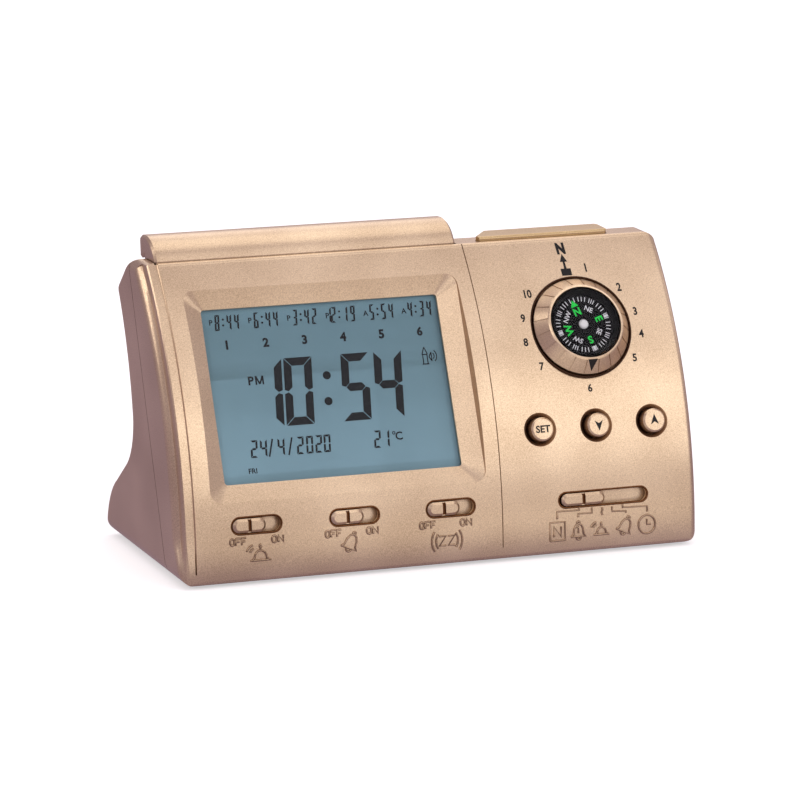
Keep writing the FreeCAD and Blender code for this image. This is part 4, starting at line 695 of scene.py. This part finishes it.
def bar_outlines(figure, left, foot, width, height, bar, gap, slant):
    """Outlines of a figure's bars, its foot's left corner at (left, foot)."""
    # Width, height, thickness and gap, then the middle height and half the thickness
    w, h, t, g = width, height, bar, gap
    m, n = h / 2, t / 2
    shapes = {
        "a": [(g, h), (w - g, h), (w - t - g, h - t), (t + g, h - t)],
        "d": [(g, 0), (t + g, t), (w - t - g, t), (w - g, 0)],
        "f": [(0, h - g), (t, h - t - g), (t, m + n + g / 2), (n, m + g), (0, m + g + n * 0.4)],
        "e": [(0, g), (0, m - g - n * 0.4), (n, m - g), (t, m - n - g / 2), (t, t + g)],
        "b": [(w, h - g), (w, m + g + n * 0.4), (w - n, m + g), (w - t, m + n + g / 2), (w - t, h - t - g)],
        "c": [(w, g), (w - t, t + g), (w - t, m - n - g / 2), (w - n, m - g), (w, m - g - n * 0.4)],
        "g": [(n + g, m), (t + g / 2, m + n), (w - t - g / 2, m + n), (w - n - g, m),
              (w - t - g / 2, m - n), (t + g / 2, m - n)]}
    return [[(left + x + slant * y, foot + y) for x, y in shapes[name]] for name in BARS[figure]]


def dot(x, y, radius):
    return arc(x, y, radius, radius, 0, 360 - 360 / DOT_SIDES, DOT_SIDES - 1)


def stroke_outline(x0, y0, x1, y1, width):
    """A straight stroke as a thin four-cornered outline."""
    length = math.hypot(x1 - x0, y1 - y0)
    nx, ny = -(y1 - y0) / length * width / 2, (x1 - x0) / length * width / 2
    return [(x0 + nx, y0 + ny), (x0 - nx, y0 - ny), (x1 - nx, y1 - ny), (x1 + nx, y1 + ny)]


print("bars in an eight:", len(bar_outlines("8", 0, 0, 9, 21, 2.6, 0.2, 0)))

# %% [markdown]
# ## What the display shows
# The time stands large in the middle. Above it six small times share the width in even steps, each over a
# plain number. Below are the date and the temperature. Everything is near black but not fully: a driven
# liquid-crystal bar still lets a little light through.

# %% Draw the display's figures
DISPLAY_INK = moulded("display_ink", srgb(20, 20, 22), 0.6, grain_mm=0.2, bump=0.02, specular=0.05)
INK_LOW, INK_HIGH = DISPLAY_FACE + 0.005, DISPLAY_FACE + 0.04
SLANT = 0.092
TIME_STEP = 12.43
LETTER_M = ((-23.0, 3.5, -23.0, 6.2), (-23.0, 6.2, -21.9, 3.7), (-21.9, 3.7, -20.8, 6.2),
            (-20.8, 6.2, -20.8, 3.5))


def display_marks(name, outlines):
    slabs(name, outlines, on_screen, INK_LOW, INK_HIGH, DISPLAY_INK, "case")


def main_time():
    foot, height, width, bar = -9.85, 20.9, 9.0, 2.5
    outlines = [stroke_outline(*stroke, 0.5) for stroke in LETTER_M]
    for figure, left in (("1", -25.0), ("0", -15.35), ("5", 3.0), ("4", 13.65)):
        outlines += bar_outlines(figure, left, foot, width, height, bar, 0.16, SLANT)
    return outlines + [dot(-0.33, 4.8, 1.3), dot(-0.98, -3.2, 1.3)]


def small_times():
    outlines = []
    first, foot, height = -35.26, 20.95, 4.9
    for i, figures in enumerate(("844", "644", "342", "1219", "554", "434")):
        left = first + TIME_STEP * i
        for figure, x in zip(reversed(figures), (7.8, 5.4, 1.6, 0.1)):
            outlines += bar_outlines(figure, left + x, foot, 1.5, height, 0.56, 0.05, SLANT)
        outlines += [dot(left + 4.55, foot + 3.4, 0.34), dot(left + 4.4, foot + 1.6, 0.34)]
    return outlines


def date_and_temperature():
    foot, height = -18.85, 5.4
    outlines = []
    places = (-28.0, -25.0, -19.4, -13.3, -10.3, -7.4, -4.7, 11.5, 14.3)
    for figure, left in zip("244202021", places):
        outlines += bar_outlines(figure, left, foot, 2.2, height, 0.62, 0.08, SLANT)
    for x in (-21.4, -15.2):
        outlines.append(stroke_outline(x - 0.75, foot, x + 0.9, foot + height, 0.5))
    ring = arc(18.35, -14.6, 0.55, 0.55, 0, 345, 15)
    hole = arc(18.35, -14.6, 0.28, 0.28, 0, 345, 15)
    for i in range(16):
        j = (i + 1) % 16
        outlines.append([ring[i], ring[j], hole[j], hole[i]])
    return outlines


def loudspeaker_mark():
    """A small tower beside a loudspeaker that sends out sound."""
    strokes = [(31.0, 6.0, 33.2, 6.0), (31.4, 6.0, 31.4, 9.0), (32.8, 6.0, 32.8, 9.0),
               (31.2, 9.0, 33.0, 9.0), (31.2, 9.0, 32.1, 11.3), (33.0, 9.0, 32.1, 11.3),
               (33.4, 8.2, 34.2, 9.6), (34.2, 9.6, 34.2, 6.8), (34.2, 6.8, 33.4, 8.2)]
    for radius in (0.9, 1.7):
        bow = arc(34.2, 8.4, radius, radius * 1.2, -55, 55, 5)
        strokes += [(*bow[i], *bow[i + 1]) for i in range(5)]
    return [stroke_outline(*stroke, 0.32) for stroke in strokes]


display_marks("display_time", main_time())
display_marks("display_loudspeaker", loudspeaker_mark())
display_marks("display_small_times", small_times())
display_marks("display_date", date_and_temperature())
words = [("P", -24.7, 4.85, 2.75, 0.03), ("C", 19.9, -15.6, 2.6, 0.02), ("FRI", -28.0, -22.8, 1.6, 0.02)]
words += [(str(i + 1), -30.6 + TIME_STEP * i, 16.4, 2.9, 0.045) for i in range(6)]
words += [(mark, -34.7 + TIME_STEP * i, 23.6 - 0.1 * i, 1.7, 0.02) for i, mark in enumerate("PPPPAA")]
lettering("display_words", words, on_screen, DISPLAY_INK, "case", INK_LOW, INK_HIGH)
print("display figures drawn")

# %% [markdown]
# ## Black prints on the case
# The dial points at one of ten places, each with a number of its own, counted clockwise from the mark beside
# the arrow. The arrow above the dial carries an N for north. The three round keys are marked with SET and
# with a dart that points down or up. All of it is thin black paint, a few hundredths of a millimetre thick.

# %% Print the dial's numbers, the arrow and the keys
black_paint = moulded("black_paint", srgb(24, 20, 19), 0.45, grain_mm=0.25, bump=0.05, specular=0.3)
DIAL_NUMBERS = ((57.6, 82.9), (67.0, 77.0), (70.6, 70.0), (71.2, 63.6), (67.6, 56.9), (51.3, 49.2),
                (36.4, 56.4), (32.6, 63.5), (33.2, 70.2), (36.2, 76.8))
PRINT_LOW, PRINT_HIGH = -0.03, 0.05


def print_dial_marks():
    words = [(str(i + 1), x, z, 2.3, 0.03) for i, (x, z) in enumerate(DIAL_NUMBERS)]
    words.append(("N", 51.0, 88.5, 3.1, 0.06))
    lettering("print_dial_numbers", words, on_front, black_paint, "case", PRINT_LOW, PRINT_HIGH)
    shapes = [[(49.3, 81.1), (52.6, 81.1), (52.6, 83.0), (49.3, 83.0)],
              [(50.5, 83.0), (51.3, 83.0), (51.2, 85.4), (50.6, 85.4)],
              [(49.7, 84.9), (52.1, 84.9), (50.9, 87.0)]]
    slabs("print_arrow", shapes, on_front, PRINT_LOW, PRINT_HIGH, black_paint, "case")


KEY_TOP = 2.4
KEY_PRINT_LOW, KEY_PRINT_HIGH = KEY_TOP - 0.02, KEY_TOP + 0.05
KEY_BODIES = ("set_key", "down_key", "up_key")


def print_key_marks():
    on_set, on_down, on_up = on_keys
    set_key, down_key, up_key = KEY_BODIES
    lettering("print_set", [("SET", 0, 0, 2.3, 0.03)], on_set, black_paint, set_key, KEY_PRINT_LOW,
              KEY_PRINT_HIGH)
    dart = [(0.0, -1.9), (1.35, 1.3), (0.0, 0.45), (-1.35, 1.3)]
    halves = [[dart[0], dart[1], dart[2]], [dart[0], dart[2], dart[3]]]
    slabs("print_down", halves, on_down, KEY_PRINT_LOW, KEY_PRINT_HIGH, black_paint, down_key)
    upward = [[(u, -v) for u, v in half] for half in halves]
    slabs("print_up", upward, on_up, KEY_PRINT_LOW, KEY_PRINT_HIGH, black_paint, up_key)


print_dial_marks()
print_key_marks()
print("prints:", len(DIAL_NUMBERS), "numbers, an arrow and", len(KEY_BODIES), "key marks")

# %% [markdown]
# ## Marks moulded in the case
# Below the slide switches the marks stand up from the case as thin beads: OFF and ON
# beside each switch and small pictures for what it does. A few strokes are enough for each picture: a dome
# for the call to prayer, a bell for the alarm, sound waves round two sleepy letters for the repeat, and a
# clock face. Beads catch the light on one flank. Their lacquer is a darker copy of the case's, painted
# shade that makes them read dark like the shade on their flanks.

# %% Draw the raised marks
BEAD = 0.34
BEAD_LIFT = 0.04


def moved(strokes, x, z, turn=0.0, scale=1.0):
    """Strokes turned by degrees, scaled and moved to (x, z)."""
    c, s = math.cos(math.radians(turn)) * scale, math.sin(math.radians(turn)) * scale
    return [[(x + u * c - v * s, z + u * s + v * c) for u, v in stroke] for stroke in strokes]


def letter(name, w, h):
    shapes = {"O": [arc(w / 2, h / 2, w / 2, h / 2, 0, 360, 16)],
              "F": [[(0, 0), (0, h), (w, h)], [(0, h * 0.52), (w * 0.8, h * 0.52)]],
              "N": [[(0, 0), (0, h), (w, 0), (w, h)]],
              "Z": [[(0, h), (w, h), (0, 0), (w, 0)]],
              "1": [[(0, h * 0.75), (w / 2, h), (w / 2, 0)]]}
    return shapes[name]


def word(text, x, z, w, h, gap):
    strokes = []
    for i, name in enumerate(text):
        strokes += moved(letter(name, w, h), x + i * (w + gap), z)
    return strokes


def bell(size):
    outline = [(-2.3, -1.9), (-1.6, -1.2), (-1.4, 0.4), (-0.9, 1.5), (0, 1.9), (0.9, 1.5), (1.4, 0.4),
               (1.6, -1.2), (2.3, -1.9), (-2.3, -1.9)]
    parts = [outline, arc(0, -2.1, 0.7, 0.7, 180, 360, 6), arc(0, 2.3, 0.4, 0.4, 0, 360, 8)]
    return moved(parts, 0, 0, 0, size)


def dome(size):
    parts = [[(-3, -2), (3, -2)], arc(0, -1.2, 1.7, 1.9, 0, 180, 12), [(-1.7, -1.2), (-2.5, -2)],
             [(1.7, -1.2), (2.5, -2)], [(0, 0.7), (0, 1.7)], arc(0.1, 2.0, 0.35, 0.35, 60, 330, 6)]
    return moved(parts, 0, 0, 0, size)


def waves(radii, start, end):
    return [arc(0, 0, r, r, start, end, 8) for r in radii]


def switch_marks():
    strokes = []
    for left in (-68.4, -38.2, -7.9):
        strokes += word("OFF", left, 11.5, 1.35, 2.1, 0.5)
        strokes += word("ON", left + 13.2, 11.5, 1.5, 2.1, 0.6)
    strokes += moved(dome(1.1), -58.9, 8.7, 0)
    strokes += moved(waves((1.6, 2.7), 105, 165), -60.6, 8.6)
    strokes += moved(bell(1.15), -30.0, 9.7, -24)
    strokes += word("ZZ", -1.6, 5.9, 2.1, 2.9, 0.8)
    strokes += moved(waves((3.9, 5.3), 145, 215), 1.2, 7.3)
    strokes += moved(waves((3.9, 5.3), -35, 35), 0.5, 7.3)
    return strokes


def selector_marks():
    strokes = [[(37.1, 10.9), (37.1, 13.2), (44.4, 13.1), (44.4, 14.0)],
               [(44.1, 11.0), (44.1, 12.0), (48.6, 11.9), (48.6, 13.6)],
               [(52.0, 13.4), (52.2, 12.6), (51.8, 11.9), (52.1, 11.0)],
               [(60.0, 11.0), (60.0, 11.6), (55.4, 11.9), (55.4, 13.4)],
               [(67.1, 10.8), (67.1, 12.6), (58.9, 12.8), (58.9, 13.9)]]
    strokes.append([(34.7, 4.2), (39.6, 4.2), (39.6, 9.9), (34.7, 9.9), (34.7, 4.2)])
    strokes += word("N", 36.0, 5.4, 2.3, 3.2, 0)
    strokes += moved(bell(1.05), 44.1, 6.9) + word("1", 43.6, 6.0, 0.9, 2.0, 0)
    strokes += moved(dome(0.85), 51.7, 6.7) + moved(waves((1.3, 2.1), 100, 165), 50.3, 6.9)
    strokes += moved(bell(1.1), 59.8, 7.2, -24)
    strokes += [arc(66.9, 6.9, 2.8, 2.9, 0, 360, 24), [(66.9, 8.6), (66.9, 6.9), (68.2, 6.9)]]
    return strokes


# Painted shade: a darker copy of the champagne lacquer, so the raised marks read dark like their shaded
# flanks.
mark_lacquer_painted_shade = lacquer("mark_lacquer_painted_shade", srgb(120, 94, 70), srgb(206, 178, 148), 0.2)
ribs("raised_switch_marks", switch_marks(), on_front, BEAD, mark_lacquer_painted_shade, "case", -BEAD_LIFT)
ribs("raised_selector_marks", selector_marks(), on_front, BEAD, mark_lacquer_painted_shade, "case", -BEAD_LIFT)
print("raised strokes:", len(switch_marks()) + len(selector_marks()))

# %% [markdown]
# ## Painted shade round the slots and the dial
# The rolled edge of each slot and of the dial's well lies in shade. A thin dark brown bead along each
# edge is that shade, painted. It keeps clear of the knobs. A thin brown plate in the notch of each knob
# is painted shade for the notch, and slides with the knob.

# %% Paint shade along the slots, the dial's well and the notches
EDGE_R, EDGE_SINK = 0.4, 0.3
WELL_R, WELL_BEAD, WELL_SINK = 16.3, 0.34, 0.25
NOTCH_HALF, NOTCH_LOW, NOTCH_HIGH = 0.54, 0.08, 0.2
SWITCH_Z = 17.2
on_switches = on_front_tangent(0, SWITCH_Z)
# Painted shade: dark brown lacquer for the beads along the slots' edges and the plates in the knobs'
# notches.
painted_edge_shade = lacquer("painted_edge_shade", srgb(70, 38, 14), srgb(128, 80, 40), 0.26)
SLOTS = ((-59.8, 0.0, 15.8, 5.0), (-28.65, 0.0, 15.8, 5.0), (2.35, 0.0, 15.8, 5.0), (52.55, -0.7, 29.5, 4.6))


def stadium(x, v, length, width):
    """The outline of a slot with round ends, as a closed stroke."""
    r, half = width / 2 + 0.1, (length - width) / 2
    points = arc(x + half, v, r, r, -90, 90, 12) + arc(x - half, v, r, r, 90, 270, 12)
    return points + points[:1]


# Painted shade: a dark brown bead along each slot's edge.
ribs("slot_edge_painted_shade", [stadium(*slot) for slot in SLOTS], on_switches, EDGE_R, painted_edge_shade, "case", EDGE_SINK)
# Painted shade: a near-black brown bead round the dial's well.
painted_well_shade = lacquer("painted_well_shade", srgb(34, 18, 8), srgb(74, 42, 20), 0.28)
well_ring = arc(0, 0, WELL_R, WELL_R, 0, 360, 64)
ribs("dial_well_painted_shade", [well_ring], on_dial, WELL_BEAD, painted_well_shade, "case", WELL_SINK)
KNOBS = (("left_slide", -62.2, 0.0, 3.6), ("middle_slide", -31.05, 0.0, 3.6),
         ("right_slide", -0.05, 0.0, 3.6), ("selector", 45.75, -0.7, 3.2))
# Painted shade: a dark brown plate in each knob's notch, riding with the knob.
for body, x, v, width in KNOBS:
    left, right, foot, top = x - NOTCH_HALF, x + NOTCH_HALF, v - width / 2, v + width / 2
    plate = [(left, foot), (right, foot), (right, top), (left, top)]
    slabs("notch_painted_shade_" + body, [plate], on_switches, NOTCH_LOW, NOTCH_HIGH, painted_edge_shade, body)
print("edges:", len(SLOTS) + 1, "notches:", len(KNOBS))

# %% [markdown]
# ## The compass
# A black card floats under a clear dome. The four points are green and bold, and the points between them
# are small and pale. A ring of pale ticks runs round the edge, with an arrow at north, a block at each
# other point and three close ticks between. The words stand with their tops outward, so each is laid on
# the card by its own turn. The card's north points up and a little to the left, as in the photograph,
# because the magnet and not the clock decides it.

# %% Finish the compass and draw its card
COMPASS_TURN = math.radians(16)
CARD_TOP = 2.0
CARD_INK_LOW, CARD_INK_HIGH = CARD_TOP + 0.005, CARD_TOP + 0.05
DOME_IOR = 1.2
green_ink = moulded("green_ink", srgb(30, 225, 80), 0.5, grain_mm=0.3, bump=0.02, specular=0.2)
pale_ink = moulded("grey_ink", srgb(226, 228, 230), 0.5, grain_mm=0.3, bump=0.02, specular=0.2)
card_black = moulded("card_black", srgb(10, 10, 12), 0.7, grain_mm=0.4, bump=0.01, specular=0.05)
cap_white = moulded("cap_white", srgb(240, 240, 238), 0.3, grain_mm=0.4, bump=0.02)
finish_with(card_black, "compass_card")
finish_with(cap_white, "compass_hub")


def dome_plastic():
    """Clear plastic: see-through from the front, glossier towards the rim of the dome."""
    material, shader = new_material("dome_plastic")
    nodes, links = material.node_tree.nodes, material.node_tree.links
    nodes.remove(shader)
    clear = add_node(material, "ShaderNodeBsdfTransparent")
    gloss = add_node(material, "ShaderNodeBsdfGlossy")
    edge = add_node(material, "ShaderNodeFresnel", IOR=DOME_IOR)
    ripple = grain(material, 5.0, detail=1.0)
    links.new(spread(material, ripple, 0.03, 0.07), gloss.inputs["Roughness"])
    dome = blend_shaders(material, edge.outputs[0], clear.outputs[0], gloss.outputs[0])
    links.new(dome, nodes["Material Output"].inputs["Surface"])
    return material


finish_with(dome_plastic(), "compass_crystal")


def on_card(bearing):
    """A function that lays a drawing on the card with its up side towards a bearing."""
    turn = COMPASS_TURN - math.radians(bearing)

    c, s = math.cos(turn), math.sin(turn)

    def place(u, v, out=0.0):
        return on_dial(u * c - v * s, u * s + v * c, out)
    return place


def card_word(text, bearing, height, radius, ink, bold):
    lettering("card_" + text, [(text, 0, radius, height, bold)], on_card(bearing), ink, "compass",
              CARD_INK_LOW, CARD_INK_HIGH)


for text, bearing, radius in (("E", 90, 5.7), ("S", 180, 5.3), ("W", 270, 5.2)):
    card_word(text, bearing, 2.5, radius, green_ink, 0.03)
card_word("N", 0, 2.5, 4.4, green_ink, 0.03)
for text, bearing in (("NE", 45), ("SE", 135), ("SW", 225), ("NW", 315)):
    card_word(text, bearing, 1.6, 5.5, pale_ink, 0.015)
slabs("card_arrow", [[(-1.3, 6.1), (1.3, 6.1), (0.0, 8.3)]], on_card(0), CARD_INK_LOW, CARD_INK_HIGH,
      green_ink, "compass")


TICK_STEP = 7.5
TICK_FOOT, TICK_END = 7.5, 9.0
TICK_HALF, BLOCK_HALF = 0.13, 0.42
CLOSER = {1: -2.6, 5: 2.6}


def tick_ring():
    """Ticks all round but at north. Those beside each point stand closer to it."""
    outlines = []
    for i in range(1, 48):
        half = BLOCK_HALF if i % 12 == 0 else TICK_HALF
        bearing = math.radians(i * TICK_STEP + CLOSER.get(i % 6, 0.0))
        across, along = (math.cos(bearing), -math.sin(bearing)), (math.sin(bearing), math.cos(bearing))
        corners = ((TICK_FOOT, -half), (TICK_FOOT, half), (TICK_END, half), (TICK_END, -half))
        outlines.append([(along[0] * r + across[0] * h, along[1] * r + across[1] * h) for r, h in corners])
    return outlines


slabs("card_ticks", tick_ring(), on_card(0), CARD_INK_LOW, CARD_INK_HIGH, pale_ink, "compass")
POINTER_TOP, POINTER_TIP, POINTER_HALF = -12.15, -14.9, 1.55
POINTER_ROWS, POINTER_COLUMNS = 8, 4
POINTER_LOW, POINTER_HIGH = -0.05, 0.08
ABOVE_RING = 8.0


def on_ring(u, v, out=0.0):
    """A place on the ring's fluted slope, found by looking straight down at it."""
    ring = solids["dial_ring"]
    to_ring = ring.matrix_world.inverted()
    start, end = to_ring @ on_dial(u, v, ABOVE_RING), to_ring @ on_dial(u, v, 0.0)
    found, place = ring.ray_cast(start, (end - start).normalized())[:2]
    base = ring.matrix_world @ place if found else on_dial(u, v, 0.0)
    return base + (on_dial(0, 0, 1.0) - on_dial(0, 0, 0.0)) * out


def pointer_tiles():
    """The pointer as small four-cornered tiles, so that it follows the slope."""
    length = POINTER_TIP - POINTER_TOP
    tiles = []
    for i in range(POINTER_ROWS):
        v0, v1 = (POINTER_TOP + length * k / POINTER_ROWS for k in (i, i + 1))
        w0, w1 = (POINTER_HALF * (1 - k / POINTER_ROWS) + 0.03 for k in (i, i + 1))
        for j in range(POINTER_COLUMNS):
            left, right = 2 * j / POINTER_COLUMNS - 1, 2 * (j + 1) / POINTER_COLUMNS - 1
            tiles.append([(w0 * left, v0), (w0 * right, v0), (w1 * right, v1), (w1 * left, v1)])
    return tiles


slabs("dial_pointer", pointer_tiles(), on_ring, POINTER_LOW, POINTER_HIGH, black_paint, "dial")
print("compass card drawn")

# %% [markdown]
# ## The dressed size
# The dressed clock has to keep the size of its solids, so its box is printed at the end.

# %% Print the dressed box and finish
def write_sizes():
    dressed_box = [list(corner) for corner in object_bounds()]
    return dressed_box


print("dressed box:", [[round(v, 4) for v in corner] for corner in write_sizes()])
